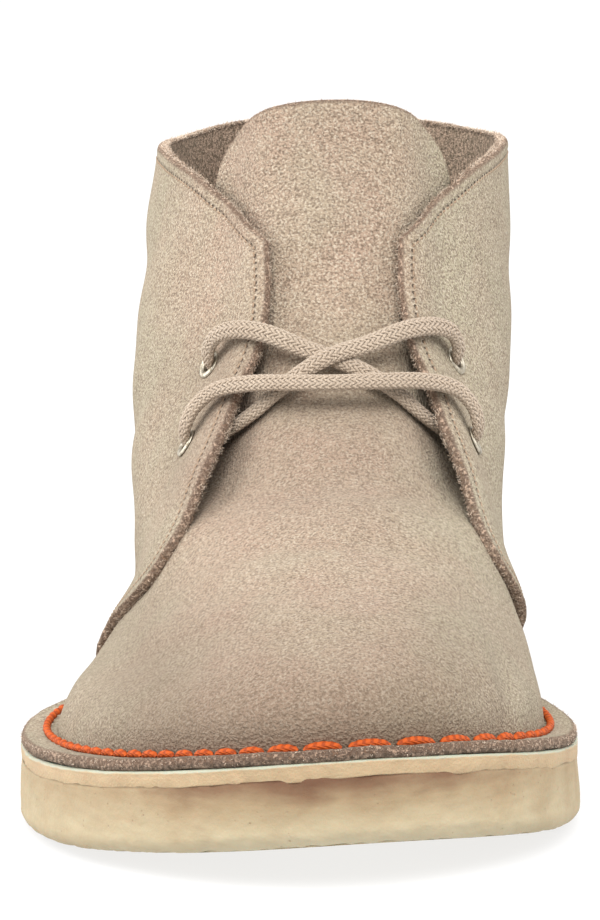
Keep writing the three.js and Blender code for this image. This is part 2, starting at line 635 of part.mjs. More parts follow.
// The lower edge of the outsole is rounded in front of the heel block, and nearly square above it.
const roundingAt = (station) => OUTSOLE_ROUNDING * (0.1 + 0.9 * ease(HEEL_LENGTH, HEEL_LENGTH + 30, station));
const [LIP, SHOULDER] = [0.3, 0.35]; // shares of a rounding, at the middle of its curve: inset and height
addPiece(
  "outsole",
  slab([
    outlineRing(roundingAt, soleBottom),
    outlineRing((s) => roundingAt(s) * LIP, (s, x) => soleBottom(s, x) + roundingAt(s) * SHOULDER),
    outlineRing(() => 0, (s, x) => soleBottom(s, x) + roundingAt(s)),
    outlineRing(() => GAP, outsoleTop),
  ]),
  crepe,
);
addPiece(
  "heel",
  slab([
    heelRing(HEEL_ROUNDING, () => 0),
    heelRing(HEEL_ROUNDING * LIP, () => HEEL_ROUNDING * SHOULDER),
    heelRing(0, () => HEEL_ROUNDING),
    heelRing(0, (s, x) => soleBottom(s, x) - GAP),
  ]),
  heelCrepe,
);
addPiece(
  "midsole",
  slab([
    outlineRing(() => FLANGE_MARGIN, (s, x) => outsoleTop(s, x) + GAP),
    outlineRing(() => FLANGE_MARGIN, midsoleTop),
  ]),
  midsoleRubber,
);
addPiece("insole", slab([insoleRing(0), insoleRing(INSOLE_THICKNESS)]), insoleLeather);
addPiece("upper", geometryFrom(upperSolid()), suede);
for (const eyelet of eyeletPlaces()) {
  addPiece(`eyelet_${eyelet.level}_${sideName(eyelet.side)}`, eyeletRing(eyelet), metal);
}
addPiece("lace", geometryFrom(laceSolid()), cotton);

export default boot;
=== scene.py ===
"""A right chukka boot in sand suede, sewn down onto a crepe sole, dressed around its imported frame.

Lengths are in millimetres until a mesh is made. In shoe coordinates x runs sideways from the heel's
axis, the station runs forward from the back of the heel, and put() turns both into the frame.
"""
import math

import bpy
import numpy as np
from mathutils import Matrix, Vector


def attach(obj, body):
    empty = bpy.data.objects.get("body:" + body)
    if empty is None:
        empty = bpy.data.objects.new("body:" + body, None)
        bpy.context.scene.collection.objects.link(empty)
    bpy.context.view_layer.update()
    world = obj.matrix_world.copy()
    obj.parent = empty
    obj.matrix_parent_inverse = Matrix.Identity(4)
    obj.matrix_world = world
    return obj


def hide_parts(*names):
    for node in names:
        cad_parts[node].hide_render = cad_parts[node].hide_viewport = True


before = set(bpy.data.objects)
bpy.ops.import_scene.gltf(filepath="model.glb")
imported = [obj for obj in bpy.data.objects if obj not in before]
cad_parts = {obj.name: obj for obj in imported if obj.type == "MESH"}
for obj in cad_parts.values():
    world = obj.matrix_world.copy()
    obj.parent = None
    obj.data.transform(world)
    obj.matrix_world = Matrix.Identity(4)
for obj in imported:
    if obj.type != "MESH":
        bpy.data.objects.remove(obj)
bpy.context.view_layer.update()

MM = 0.001

# Sole sizes
LENGTH = 300
BALL_WIDTH = 112.5
HEEL_RADIUS = 37
TOE_RADIUS = 31
OUTSOLE_THICKNESS = 13
OUTSOLE_ROUNDING = 3
MIDSOLE_THICKNESS = 2.2
INSOLE_THICKNESS = 3
HEEL_LIFT = 10
HEEL_LENGTH = 78
HEEL_ROUNDING = 2
INSOLE_GAP = 0.5
HEEL_SEAT = 45
BALL_START = 172
SPRING_START = 205
TOE_SPRING = 9
TOE_TWIST = 2.8
GAP = 0.3  # between one layer and the next
INSOLE_DISH = 0.9
BEAD_LEVEL = 0.86  # where the bead of adhesive lies on the midsole's side
SOLE_POINTS = 640  # round the outline

# Upper sizes
SUEDE = 2.4
FLANGE = 6
FLANGE_MARGIN = 0.8
FLANGE_BEND = 2.6
FLANGE_SETBACK = 0.45  # from the outline to the flange's raw edge
FLANGE_CURL = 0.2  # how far the flange's edge turns up
WALL_RISE = 9
INSTEP_RISE = 68
COLLAR_RISE = 107
TONGUE_RISE = 124
TONGUE_ROUND = 22
FACING_LIFT = 1.6
TONGUE_GAP = 1.8
SEAM_BITE = 0.25
THROAT_RISE = 0.54 * INSTEP_RISE
FREE_RISE = 12
LAP_TURN = 0.1
SEAM_INSET = 3.0  # the sewn row lies this far inside the raw edge of the quarters
SEAM_PITCH = 1.7  # from one needle hole to the next
NO_SEAM = 99.0  # the seam mark where there is no seam

# Eyelets, lace and thread
EYELET_HOLE = 1.7
EYELET_BARREL = 2.1
EYELET_RIM = 3.2
ROLL_OVER, ROLL_UNDER = 0.55, 0.45  # how far its rolled edges stand off the leather
HOLE_RADIUS = EYELET_BARREL + 0.1
HOLE_BLOCK = 1.6  # half the size of the block of faces that a hole takes the place of
LACE_WIDTH = 4.1
LACE_THICKNESS = 2.5
LACE_YARNS = 12  # in each direction round the lace
LACE_STEP = 0.42  # between the rings of its yarns
YARN_INSET = 0.3  # of the yarns' middles from the lace's outside
WEAVE_DEPTH = 0.2  # how far a yarn rises and dips
BRAID_ANGLE = 33  # of the yarns to the lace, in degrees
YARN_WIDTH = 0.33
YARN_HEIGHT = 0.22
YARN_SIDES = 5
PLY_PITCH = 0.55
THREAD_RADIUS = 0.98
THREAD_PITCH = 1.5
STITCH_LENGTH = 4.7
STITCH_GROWTH = 5.2  # how much longer a stitch is at the toe
STITCH_PEAK = 24  # where across the toe it is longest, and over how much it shortens
STITCH_ARCH = 0.6  # how high its middle rises
STITCH_SINK = 0.15  # how deep its ends lie
SEAM_THREAD = 0.24
FIBRE_RADIUS = 0.085

LATERAL = -1
MEDIAL = 1


def columns(names, *rows):
    """A short table: its named columns as arrays."""
    return dict(zip(names.split(), np.array(rows, float).T))


# Half widths of the outsole from the heel's axis, as shares of BALL_WIDTH, at shares of LENGTH.
OUTLINE = columns(
    "at lateral medial",
    (0.05, 0.27, 0.265),
    (0.12, 0.338, 0.328),
    (0.25, 0.352, 0.32),
    (0.35, 0.366, 0.303),
    (0.45, 0.402, 0.315),
    (0.55, 0.472, 0.365),
    (0.65, 0.539, 0.427),
    (0.72, 0.55, 0.45),
    (0.8, 0.516, 0.441),
    (0.88, 0.431, 0.388),
    (0.95, 0.283, 0.275),
)
# How far the wall leans in over WALL_RISE, as a share of it.
WALL_LEAN = columns(
    "at lateral medial",
    (0, -0.1, -0.1),
    (0.3, -0.12, -0.15),
    (0.5, -0.05, -0.1),
    (0.65, 0.4, 0.08),
    (0.8, 0.34, 0.08),
    (0.93, 0.08, 0.02),
    (1, -0.04, -0.04),
)
# Level rings of the upper's inside. rise is a share of INSTEP_RISE, back and front are shares of LENGTH,
# and the rest shares of BALL_WIDTH: the end radii, the ridge's shift to the inner side and half widths.
RINGS = columns(
    "rise back front back_radius front_radius ridge "
    "lateral_heel lateral_waist lateral_fore medial_heel medial_waist medial_fore",
    (0.25, 0.023, 0.946, 0.24, 0.2, 0.02, 0.277, 0.332, 0.364, 0.263, 0.262, 0.345),
    (0.37, 0.022, 0.892, 0.24, 0.155, 0.026, 0.281, 0.332, 0.319, 0.272, 0.28, 0.323),
    (0.485, 0.023, 0.82, 0.24, 0.125, 0.03, 0.286, 0.34, 0.314, 0.277, 0.298, 0.314),
    (0.62, 0.025, 0.73, 0.24, 0.115, 0.032, 0.29, 0.341, 0.32, 0.281, 0.312, 0.316),
    (0.8, 0.03, 0.64, 0.235, 0.125, 0.032, 0.288, 0.336, 0.325, 0.29, 0.33, 0.33),
    (1, 0.037, 0.573, 0.23, 0.16, 0.032, 0.282, 0.332, 0.316, 0.3, 0.349, 0.34),
    (1.24, 0.043, 0.53, 0.225, 0.2, 0.032, 0.27, 0.324, 0.3, 0.305, 0.361, 0.337),
    (1.53, 0.05, 0.5, 0.22, 0.215, 0.032, 0.25, 0.296, 0.274, 0.31, 0.362, 0.336),
    (1.85, 0.053, 0.48, 0.22, 0.22, 0.032, 0.24, 0.28, 0.26, 0.312, 0.364, 0.336),
)
WIDTH_PLACES = {"heel": 0.2, "waist": 0.45, "fore": 0.7}
# Front edge of the quarters and side edge of the vamp: the turn from heel to ridge at shares of INSTEP_RISE.
QUARTER_EDGE = columns(
    "rise turn",
    (0, 0.5),
    (0.2, 0.562),
    (0.35, 0.636),
    (0.46, 0.702),
    (0.63, 0.775),
    (0.8, 0.827),
    (0.92, 0.856),
    (1.02, 0.883),
    (1.12, 0.9),
    (1.25, 0.908),
    (1.4, 0.906),
)
VAMP_EDGE = columns(
    "rise turn",
    (0, 0.455),
    (0.2, 0.512),
    (0.35, 0.58),
    (0.46, 0.632),
    (0.63, 0.69),
    (0.8, 0.735),
    (0.92, 0.757),
    (1.02, 0.765),
    (1.25, 0.755),
    (1.5, 0.748),
    (1.9, 0.744),
)
# Top edge of the quarters, as a share of COLLAR_RISE, at shares of the way round from the heel.
COLLAR = columns(
    "at rise",
    (0, 1),
    (0.15, 0.99),
    (0.33, 0.97),
    (0.44, 0.978),
    (0.535, 0.992),
    (0.62, 1),
    (0.72, 0.993),
    (0.79, 0.966),
    (0.84, 0.938),
    (0.88, 0.902),
    (0.91, 0.872),
)
# The eyelets on each side, in shares of INSTEP_RISE and of a turn from the ridge.
EYELETS = {"upper": (1.01, 0.208), "lower": (0.78, 0.242)}

# The lace, from inside one upper eyelet to inside the other. lift is the height of its middle above the
# last, and full its size against LACE_WIDTH. The first table runs from an upper eyelet to the far lower
# one, under the other facing, and the second from that lower eyelet half way along the bar.
CROSSING = columns(
    "across rise lift full",
    (-0.212, 1.0, -1.6, 0.6),
    (-0.209, 1.005, 0.4, 0.62),
    (-0.206, 1.01, 2.6, 0.66),
    (-0.2, 1.02, 4.5, 0.85),
    (-0.187, 1.05, 6.1, 0.97),
    (-0.165, 1.08, 7.4, 1),
    (-0.13, 1.09, 8.3, 1),
    (-0.09, 1.075, 8.0, 1),
    (-0.045, 1.04, 6.3, 1),
    (0, 1.01, 5.6, 1),
    (0.04, 0.975, 5.3, 1),
    (0.07, 0.945, 4.9, 1),
    (0.1, 0.915, 4.2, 0.98),
    (0.13, 0.885, 3.1, 0.92),
    (0.16, 0.86, 2.1, 0.88),
    (0.195, 0.83, 1.2, 0.85),
    (0.222, 0.8, -0.2, 0.75),
    (0.238, 0.783, -0.9, 0.62),
)
HALF_BAR = columns(
    "across rise lift full",
    (0.243, 0.779, 1.2, 0.6),
    (0.243, 0.781, 3.4, 0.66),
    (0.239, 0.788, 5.3, 0.85),
    (0.227, 0.81, 7.0, 0.97),
    (0.205, 0.85, 8.3, 1),
    (0.17, 0.893, 8.9, 1),
    (0.12, 0.912, 8.7, 1),
    (0.06, 0.912, 8.5, 1),
)
BAR_MIDDLE = columns("across rise lift full", (0, 0.91, 8.4, 1))
CROSSING_OVER = 1.7  # the strand from the inner side runs this much higher
HOLE_POINTS = 3  # the points at each end of a run that lie in or by an eyelet


def along(keys, values, at):
    """A smooth curve through values at keys, and straight on past both ends.
    Each key's slope comes from its neighbours; between keys it is t·rise + t(1 − t)·bend.
    values has one row a key, each a number or an array as large as at."""
    values, at = np.asarray(values, float), np.asarray(at, float)
    last = len(keys) - 1
    behind, ahead = np.maximum(np.arange(last + 1) - 1, 0), np.minimum(np.arange(last + 1) + 1, last)
    spans = (keys[ahead] - keys[behind]).reshape((-1,) + (1,) * (values.ndim - 1))
    slopes = (values[ahead] - values[behind]) / spans

    def pick(rows, index):
        return rows[index] if rows.ndim == 1 else np.take_along_axis(rows, index[None], 0)[0]

    i = np.clip(np.searchsorted(keys, at, side="right") - 1, 0, last - 1)
    step = keys[i + 1] - keys[i]
    t = (at - keys[i]) / step
    low = pick(values, i)
    rise = pick(values, i + 1) - low
    bend = (1 - t) * (pick(slopes, i) * step - rise) - t * (pick(slopes, i + 1) * step - rise)
    inside = low + t * rise + t * (1 - t) * bend
    below = values[0] + slopes[0] * (at - keys[0])
    above = values[-1] + slopes[-1] * (at - keys[-1])
    return np.where(at <= keys[0], below, np.where(at >= keys[-1], above, inside))


def ease(low, high, at):
    """0 below low, 1 above high, and a smooth step between."""
    t = np.clip((at - low) / (high - low), 0, 1)
    return t * t * (3 - 2 * t)


def ripple(points, size, seed, waves=18):
    """Smooth noise of about unit height: a sum of plane waves of random direction, length and phase."""
    rng = np.random.default_rng(seed)
    ways = rng.normal(size=(waves, 3))
    ways *= (2 * math.pi / size * rng.uniform(0.6, 1.5, waves) / np.linalg.norm(ways, axis=1))[:, None]
    phases = rng.uniform(0, 2 * math.pi, waves)
    return np.sin(points @ ways.T + phases).sum(-1) / math.sqrt(waves)


def ripples(points, *layers):
    """A sum of ripples, each with its own depth, size and seed."""
    return sum(depth * ripple(points, size, seed) for depth, size, seed in layers)


def unit(vectors):
    return vectors / np.maximum(np.linalg.norm(vectors, axis=-1, keepdims=True), 1e-12)


def runs_along(path):
    """How far along a path its points lie, or along each column of a grid."""
    runs = np.cumsum(np.linalg.norm(np.diff(path, axis=0), axis=-1), axis=0)
    return np.concatenate([np.zeros_like(runs[:1]), runs])


def picked(at, runs, values):
    """Rows of three numbers given at runs, taken at other places along them."""
    return np.stack([np.interp(at, runs, values[:, k]) for k in range(3)], -1)


def nearest(points, targets, block=1500):
    """For each point, the number of the nearest target."""
    parts = (points[k:k + block] for k in range(0, len(points), block))
    return np.concatenate([((part[:, None] - targets[None]) ** 2).sum(2).argmin(1) for part in parts])


# The sole's levels, and the forms of the last

def sole_bottom(station, x):
    """Level at the heel seat, falling to the ball, then the toe's spring with its twist."""
    fall = 1 - ease(HEEL_SEAT, BALL_START, station)
    spring = np.maximum(0, (station - SPRING_START) / (LENGTH - SPRING_START)) ** 2
    return HEEL_LIFT * fall + (TOE_SPRING + TOE_TWIST * x / (BALL_WIDTH / 2)) * spring


def outsole_top(station, x):
    return sole_bottom(station, x) + OUTSOLE_THICKNESS


def last_bottom(station, x):
    return outsole_top(station, x) + GAP + MIDSOLE_THICKNESS + GAP


def turn_at(share):
    return np.arccos(1 - 2 * np.asarray(share, float)) / math.pi


def share_at(turn):
    return (1 - np.cos(math.pi * turn)) / 2


def end_fullness(radius, length):
    return math.sqrt(radius * length / 2)


def row_fullness(share, half):
    return half / np.sin(math.pi * turn_at(share))


OUTLINE_TURNS = np.concatenate([[0], turn_at(OUTLINE["at"]), [1]])
OUTLINE_FULLNESS = {
    side: np.concatenate([
        [end_fullness(HEEL_RADIUS, LENGTH)],
        row_fullness(OUTLINE["at"], OUTLINE[name] * BALL_WIDTH),
        [end_fullness(TOE_RADIUS, LENGTH)],
    ])
    for side, name in ((LATERAL, "lateral"), (MEDIAL, "medial"))
}
AXIS_SHIFT = (OUTLINE["lateral"].max() - OUTLINE["medial"].max()) * BALL_WIDTH / 2


def by_side(side, lateral, medial):
    return np.where(side < 0, lateral, medial)


def folded(side, turn):
    """A place past the heel's back or the toe's tip, as a place on the other side."""
    side = np.where((turn < 0) | (turn > 1), -side, side)
    turn = np.where(turn < 0, -turn, np.where(turn > 1, 2 - turn, turn))
    return side, turn


def outline_point(side, turn):
    """The outsole's outline in plan: half the width is a fullness times the sine of the turn."""
    fullness = by_side(side, *(along(OUTLINE_TURNS, OUTLINE_FULLNESS[s], turn) for s in (LATERAL, MEDIAL)))
    return np.stack([side * fullness * np.sin(math.pi * turn), LENGTH * share_at(turn)], -1)


def outline_inward(side, turn):
    step = 0.004
    before = outline_point(*folded(side, turn - step))
    after = outline_point(*folded(side, turn + step))
    tangent = unit(after - before)
    return np.stack([-side * tangent[..., 1], side * tangent[..., 0]], -1)


def inset_outline(side, turn, inset):
    """The outline moved inwards along its own normal."""
    side, turn = np.broadcast_arrays(np.asarray(side), np.asarray(turn, float))
    inset = np.broadcast_to(inset, side.shape)
    return outline_point(side, turn) + outline_inward(side, turn) * inset[..., None]


def ring_point(k, side, turn):
    """Row k of RINGS in plan: the half width runs through the ends and the three width places."""
    row = {name: column[k] for name, column in RINGS.items()}
    length = (row["front"] - row["back"]) * LENGTH
    ridge = row["ridge"] * BALL_WIDTH
    places = np.array(list(WIDTH_PLACES.values()))
    turns = np.concatenate([[0], turn_at(places), [1]])
    ends = [end_fullness(row[name] * BALL_WIDTH, length) for name in ("back_radius", "front_radius")]

    def fullness(sign, name):
        halves = np.array([row[f"{name}_{place}"] for place in WIDTH_PLACES]) * BALL_WIDTH
        middle = row_fullness(places, halves - sign * ridge * places)
        return along(turns, np.concatenate([[ends[0]], middle, [ends[1]]]), turn)

    half = by_side(side, fullness(LATERAL, "lateral"), fullness(MEDIAL, "medial")) * np.sin(math.pi * turn)
    share = share_at(turn)
    return np.stack([ridge * share + side * half, row["back"] * LENGTH + length * share], -1)


FEATHER_INSET = FLANGE_MARGIN + FLANGE + SUEDE
LEVELS = np.concatenate([[0, WALL_RISE], RINGS["rise"] * INSTEP_RISE])


def last_point(side, turn, rise):
    """The inside of the upper: x, station and height, by side, turn and rise above the sole."""
    side, turn, rise = np.broadcast_arrays(np.asarray(side), np.asarray(turn, float), np.asarray(rise, float))
    lean = by_side(side, *(along(WALL_LEAN["at"], WALL_LEAN[n], share_at(turn)) for n in ("lateral", "medial")))
    feather = inset_outline(side, turn, FEATHER_INSET)
    widest = inset_outline(side, turn, FEATHER_INSET + lean * WALL_RISE)
    plans = np.stack([feather, widest] + [ring_point(k, side, turn) for k in range(len(RINGS["rise"]))])
    x = along(LEVELS, plans[..., 0], rise)
    station = along(LEVELS, plans[..., 1], rise)
    return np.stack([x, station, last_bottom(station, x) + rise], -1)


def put(points):
    """Shoe coordinates to the frame's."""
    return np.stack([points[..., 0] + AXIS_SHIFT, LENGTH / 2 - points[..., 1], points[..., 2]], -1)


MIRROR = np.array([1, -1, 1])  # turns a direction in shoe coordinates into the frame's


def leather_point(side, turn, level, height, shift):
    """The underside of the leather. level 0 is the wall, height above its foot. From 0 to -1 the wall
    turns out through a quarter circle, and from -1 to -2 runs the flange. shift moves foot and flange
    outwards and up together, for a layer that lies over another."""
    side, turn, level, height, shift = np.broadcast_arrays(side, turn, level, height, shift)
    foot = last_point(side, turn, FLANGE_BEND + shift + height)
    out = -outline_inward(side, turn)
    angle = np.clip(-level, 0, 1) * math.pi / 2
    flat = np.clip(-level - 1, 0, 1)
    reach = FLANGE_BEND * (1 - np.cos(angle)) + shift * (level < 0)
    bent = foot[..., :2] + out * reach[..., None]
    edge = inset_outline(side, turn, FLANGE_SETBACK)
    plan = bent + (edge - bent) * flat[..., None]
    floor = last_bottom(plan[..., 1], plan[..., 0])
    bend = shift + FLANGE_BEND * (1 - np.sin(angle)) + FLANGE_CURL * flat ** 2
    z = np.where(level < 0, floor + bend, foot[..., 2])
    return np.concatenate([np.where((level < 0)[..., None], plan, foot[..., :2]), z[..., None]], -1)


def edge_turn(table, rise):
    return along(table["rise"], table["turn"], np.minimum(rise / INSTEP_RISE, table["rise"][-1]))


def quarter_lift(turn, rise):
    """How far the quarters lie off the last: over the vamp at their front edge, on the last further back."""
    from_edge = edge_turn(QUARTER_EDGE, rise) - turn
    lap = 1 - ease(0.01, LAP_TURN, from_edge)
    free = ease(0, FREE_RISE, rise - THROAT_RISE)
    return lap * (SUEDE - SEAM_BITE + free * (SEAM_BITE + FACING_LIFT))


def tongue_dip(across, rise):
    """How far the tongue's sides draw in, clear of the facings."""
    free = ease(0, FREE_RISE, rise - THROAT_RISE)
    return -free * (SUEDE + TONGUE_GAP) * ease(0.35, 0.85, abs(across))


def on_last(across, rise):
    return last_point(np.where(np.asarray(across) < 0, LATERAL, MEDIAL), 1 - abs(np.asarray(across)), rise)


def normal_of(surface, across, rise, step=0.01, lift=1):
    """The direction out of a surface at one place, from the places beside, above and below it."""
    sideways = surface(across + step, rise) - surface(across - step, rise)
    upwards = surface(across, rise + lift) - surface(across, rise - lift)
    return unit(np.cross(upwards, sideways))


def off_last(across, rise, lift):
    """A point lift off the last, and the normal there, by the share of a turn from the ridge."""
    normal = normal_of(on_last, across, rise)
    return on_last(across, rise) + normal * np.asarray(lift)[..., None], normal


def facing_at(side, across, rise):
    """A place on the inside of a facing, with the direction out through it, both in the frame."""
    def facing(a, r):
        return off_last(side * a, r, quarter_lift(1 - a, r))[0]
    normal = normal_of(facing, across, rise, 0.012, 2) * side
    return put(facing(across, rise)), normal * MIRROR


def eyelet_places():
    for side, side_name in ((LATERAL, "lateral"), (MEDIAL, "medial")):
        for level, (rise, across) in EYELETS.items():
            yield f"eyelet_{level}_{side_name}", *facing_at(side, across, rise * INSTEP_RISE)


# Meshes

def quads(ids):
    """The faces of a grid of point numbers."""
    return np.stack([ids[:-1, :-1], ids[1:, :-1], ids[1:, 1:], ids[:-1, 1:]], -1).reshape(-1, 4)


def looped(ids):
    """A grid whose columns run right round."""
    return np.concatenate([ids, ids[:, :1]], 1)


def volume_of(points, faces):
    a, b, c = (points[faces[:, k]] for k in range(3))
    return np.einsum("ij,ij->i", a, np.cross(b, c)).sum() / 6


def add_piece(name, points, faces, finish, slot, nodes=(), marks=None):
    """A mesh from points in millimetres and faces of four numbers, riding on the boot. A face that
    repeats a number becomes a triangle. The faces are turned outwards by the sign of the volume."""
    points = np.asarray(points, float).reshape(-1, 3)
    repeated = faces == np.roll(faces, -1, 1)
    whole = faces[~repeated.any(1)]
    pinched = repeated.sum(1) == 1
    triangles = faces[pinched][~repeated[pinched]].reshape(-1, 3)
    if volume_of(points, np.concatenate([whole[:, [0, 1, 2]], whole[:, [0, 2, 3]], triangles])) < 0:
        whole, triangles = whole[:, ::-1], triangles[:, ::-1]
    mesh = bpy.data.meshes.new(name)
    mesh.vertices.add(len(points))
    mesh.vertices.foreach_set("co", (points * MM).ravel())
    corners = np.concatenate([whole.ravel(), triangles.ravel()])
    sizes = np.repeat([4, 3], [len(whole), len(triangles)])
    mesh.loops.add(len(corners))
    mesh.loops.foreach_set("vertex_index", corners.astype(np.int32))
    mesh.polygons.add(len(sizes))
    mesh.polygons.foreach_set("loop_start", (np.cumsum(sizes) - sizes).astype(np.int32))
    mesh.polygons.foreach_set("use_smooth", np.ones(len(sizes), bool))
    mesh.update(calc_edges=True)
    for mark, values in (marks or {}).items():
        attribute = mesh.attributes.new(mark, "FLOAT", "POINT")
        attribute.data.foreach_set("value", np.asarray(values, np.float32).ravel())
    made = shown(name, mesh, finish)
    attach(made, "root")
    if nodes:
        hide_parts(*nodes)


def shown(name, data, finish=None):
    """A new object of the scene from its data."""
    if finish:
        data.materials.append(finish.material)
    made = bpy.data.objects.new(name, data)
    bpy.context.scene.collection.objects.link(made)
    return made


def nearest_on(path, points):
    """For each point, its distance from a path and how far along the path it lies."""
    best = nearest(points, path)
    delta = points - path[best]
    ahead = (delta * unit(np.gradient(path, axis=0))[best]).sum(1)
    return np.sqrt(np.maximum((delta ** 2).sum(1) - ahead ** 2, 0)), runs_along(path)[best] + ahead


def settled(points, surface, normals):
    """Points moved along the surface's normal onto it, with that normal."""
    found = nearest(points, surface)
    n = normals[found]
    return points - n * ((points - surface[found]) * n).sum(1)[:, None], n


def evenly(path, step):
    """The path's points again, step apart."""
    runs = runs_along(path)
    return picked(np.arange(0, runs[-1], step), runs, path)


def grid_normals(grid):
    """Normals of a grid whose rows go up and whose columns run anticlockwise round the boot."""
    return unit(np.cross(np.gradient(grid, axis=1), np.gradient(grid, axis=0)))


# Spacings of the first columns or rows in from a raw edge
EDGE_STEPS = np.array([0, 0.06, 0.16, 0.32, 0.55, 0.85, 1.2, 1.6, 2.0, 2.4, 2.7, 3.0, 3.3, 3.7, 4.3, 5.1])
OUTER_ROUNDING = 1.1  # how far in from a raw edge the leather's outer side reaches its height
INNER_ROUNDING = 0.6
NAP_DEPTH, NAP_SIZE, NAP_REACH = 0.06, 2.3, 2  # unevenness of the leather's outer side near a raw edge
RIM_REACH = (0.2, 1.1)  # from a raw edge, where the rim mark falls from 1 to 0
LIP_REACH = (0.1, 0.75)  # the same for the lip mark, on the flange's raw edge
# The lip mark is kept lower on the outer side than on the underside, which takes more painted shade.
OUTER_LIP = 0.45  # the lip mark on the outer side


def rounded_over(away, radius):
    """Share of the leather's thickness near a raw edge: a blunt round."""
    return (1 - (1 - np.clip(away / radius, 0, 1)) ** 2.4) ** (1 / 2.4)


def edge_distance(grid):
    """Each grid point's distance along its row or its column to the nearest edge."""
    up, across = runs_along(grid), runs_along(grid.swapaxes(0, 1)).T
    return np.minimum(np.minimum(across, across[:, -1:] - across), np.minimum(up, up[-1:] - up))


def leather_shell(grid, relief):
    """A closed sheet of leather over a grid of its underside: the grid moved out by relief, and again
    by the thickness, both drawn together at the raw edge. Returns points, ids of both layers, marks,
    the outer layer and the normals."""
    normals = grid_normals(grid)
    away = edge_distance(grid)
    middle = grid + normals * (relief + SUEDE / 2)[..., None]
    nap = 1 + NAP_DEPTH * ripple(middle, NAP_SIZE, 5) * (away < NAP_REACH)
    outer = middle + normals * (rounded_over(away, OUTER_ROUNDING) * nap * SUEDE / 2)[..., None]
    inner = middle - normals * (rounded_over(away, INNER_ROUNDING) * SUEDE / 2)[..., None]
    inside = (slice(1, -1), slice(1, -1))
    outer_ids = np.arange(away.size).reshape(away.shape)
    inner_ids = outer_ids.copy()
    inner_ids[inside] = away.size + np.arange(away[inside].size).reshape(away[inside].shape)
    points = np.concatenate([outer.reshape(-1, 3), inner[inside].reshape(-1, 3)])
    rim = 1 - ease(*RIM_REACH, away)
    # lip: the flange's raw edge, brown as cut suede and darkened by painted shade, fullest on the underside
    lip = (np.arange(len(grid)) < len(FLANGE_ROWS))[:, None] * (1 - ease(*LIP_REACH, away))
    layers = {"rim": (rim, rim), "lining": (0 * rim, 0 * rim + 1), "lip": (OUTER_LIP * lip, lip)}
    marks = {name: np.concatenate([a.ravel(), b[inside].ravel()]) for name, (a, b) in layers.items()}
    return points, outer_ids, inner_ids, marks, outer, normals


def crease_relief(grid, creases):
    """Soft folds: each runs between two places on the leather as a trough with a ridge on both sides,
    a bell of its depth across and a sine along."""
    relief = np.zeros(grid.shape[:2])
    t = np.linspace(0, 1, 40)
    for row in zip(*creases.values()):
        crease = dict(zip(creases, row))
        across = crease["from_across"] + (crease["to_across"] - crease["from_across"]) * t
        rise = crease["from_rise"] + (crease["to_rise"] - crease["from_rise"]) * t
        rise += crease["bow"] * 4 * t * (1 - t)
        path = put(on_last(across, rise * INSTEP_RISE))
        away, run = nearest_on(path, grid.reshape(-1, 3))
        taper = np.sin(np.clip(run / runs_along(path)[-1], 0, 1) * math.pi) ** 1.2
        bell = (away / crease["width"]) ** 2
        fold = crease["depth"] * taper * (1.5 * bell - 1) * np.exp(-bell)
        relief += fold.reshape(relief.shape)
    return relief


# Creases: across is the share of a turn from the ridge, negative on the outer side, rise is in shares of
# INSTEP_RISE, width and depth in millimetres. bow lifts the middle of the crease.
VAMP_CREASES = columns(
    "from_across from_rise to_across to_rise bow width depth",
    (-0.24, 0.5, 0.2, 0.5, 0.06, 7, 0.5),
    (-0.3, 0.38, -0.02, 0.43, 0.03, 6, 0.35),
    (0.05, 0.42, 0.3, 0.36, 0.02, 6, 0.35),
    (0.2, 0.02, 0.235, 0.3, 0, 5, 0.75),
    (-0.24, 0.66, 0.24, 0.66, 0.06, 12, 1.7),
    (-0.33, 0.05, -0.28, 0.26, 0, 7, 0.35),
)
QUARTER_CREASES = columns(
    "from_across from_rise to_across to_rise bow width depth",
    (-0.3, 0.95, -0.5, 0.62, 0.03, 9, 0.9),
    (-0.36, 1.25, -0.6, 1.02, 0.04, 10, 0.9),
    (-0.42, 0.5, -0.62, 0.36, 0.02, 9, 0.6),
    (-0.78, 1.2, -0.98, 1.12, -0.04, 8, 0.7),
    (-0.75, 0.82, -0.97, 0.74, -0.04, 9, 0.6),
    (0.3, 0.92, 0.5, 0.6, 0.03, 9, 0.5),
    (0.34, 1.22, 0.6, 1.0, 0.04, 10, 0.45),
    (0.42, 0.48, 0.64, 0.34, 0.02, 9, 0.6),
    (0.78, 1.18, 0.98, 1.1, -0.04, 8, 0.7),
    (0.76, 0.8, 0.97, 0.72, -0.04, 9, 0.6),
)

FLANGE_RUN = FLANGE + SUEDE - FLANGE_BEND
FLANGE_ROWS = -2 + EDGE_STEPS[EDGE_STEPS < FLANGE_RUN] / FLANGE_RUN
BEND_ROWS = np.linspace(-1, 0, 10)[:-1]
FOOT_ROWS = len(FLANGE_ROWS) + len(BEND_ROWS)
# Each sheet's columns and rows, and the half width and height in millimetres by which those near a raw
# edge are spaced.
VAMP_MESH = {"columns": 190, "half_width": 58, "rows": 165, "height": 112}
QUARTER_MESH = {"columns": 300, "half_width": 165, "rows": 110, "height": 98}


def sheet_lines(columns, half_width, rows, height):
    """A sheet's columns, from -1 at one raw edge to 1 at the other, and its rows from the flange up, as
    levels and as shares of the wall. Both lie close together near raw edges."""
    near = 1 - EDGE_STEPS / half_width
    across = np.concatenate([-near, np.linspace(-near[-1], near[-1], columns)[1:-1], near[::-1]])
    near = 1 - EDGE_STEPS[::-1] / height
    share = np.concatenate([np.zeros(FOOT_ROWS), np.linspace(0, near[0], rows)[:-1], near])
    level = np.concatenate([FLANGE_ROWS, BEND_ROWS, np.zeros(len(share) - FOOT_ROWS)])
    return across[None], level[:, None], share[:, None]


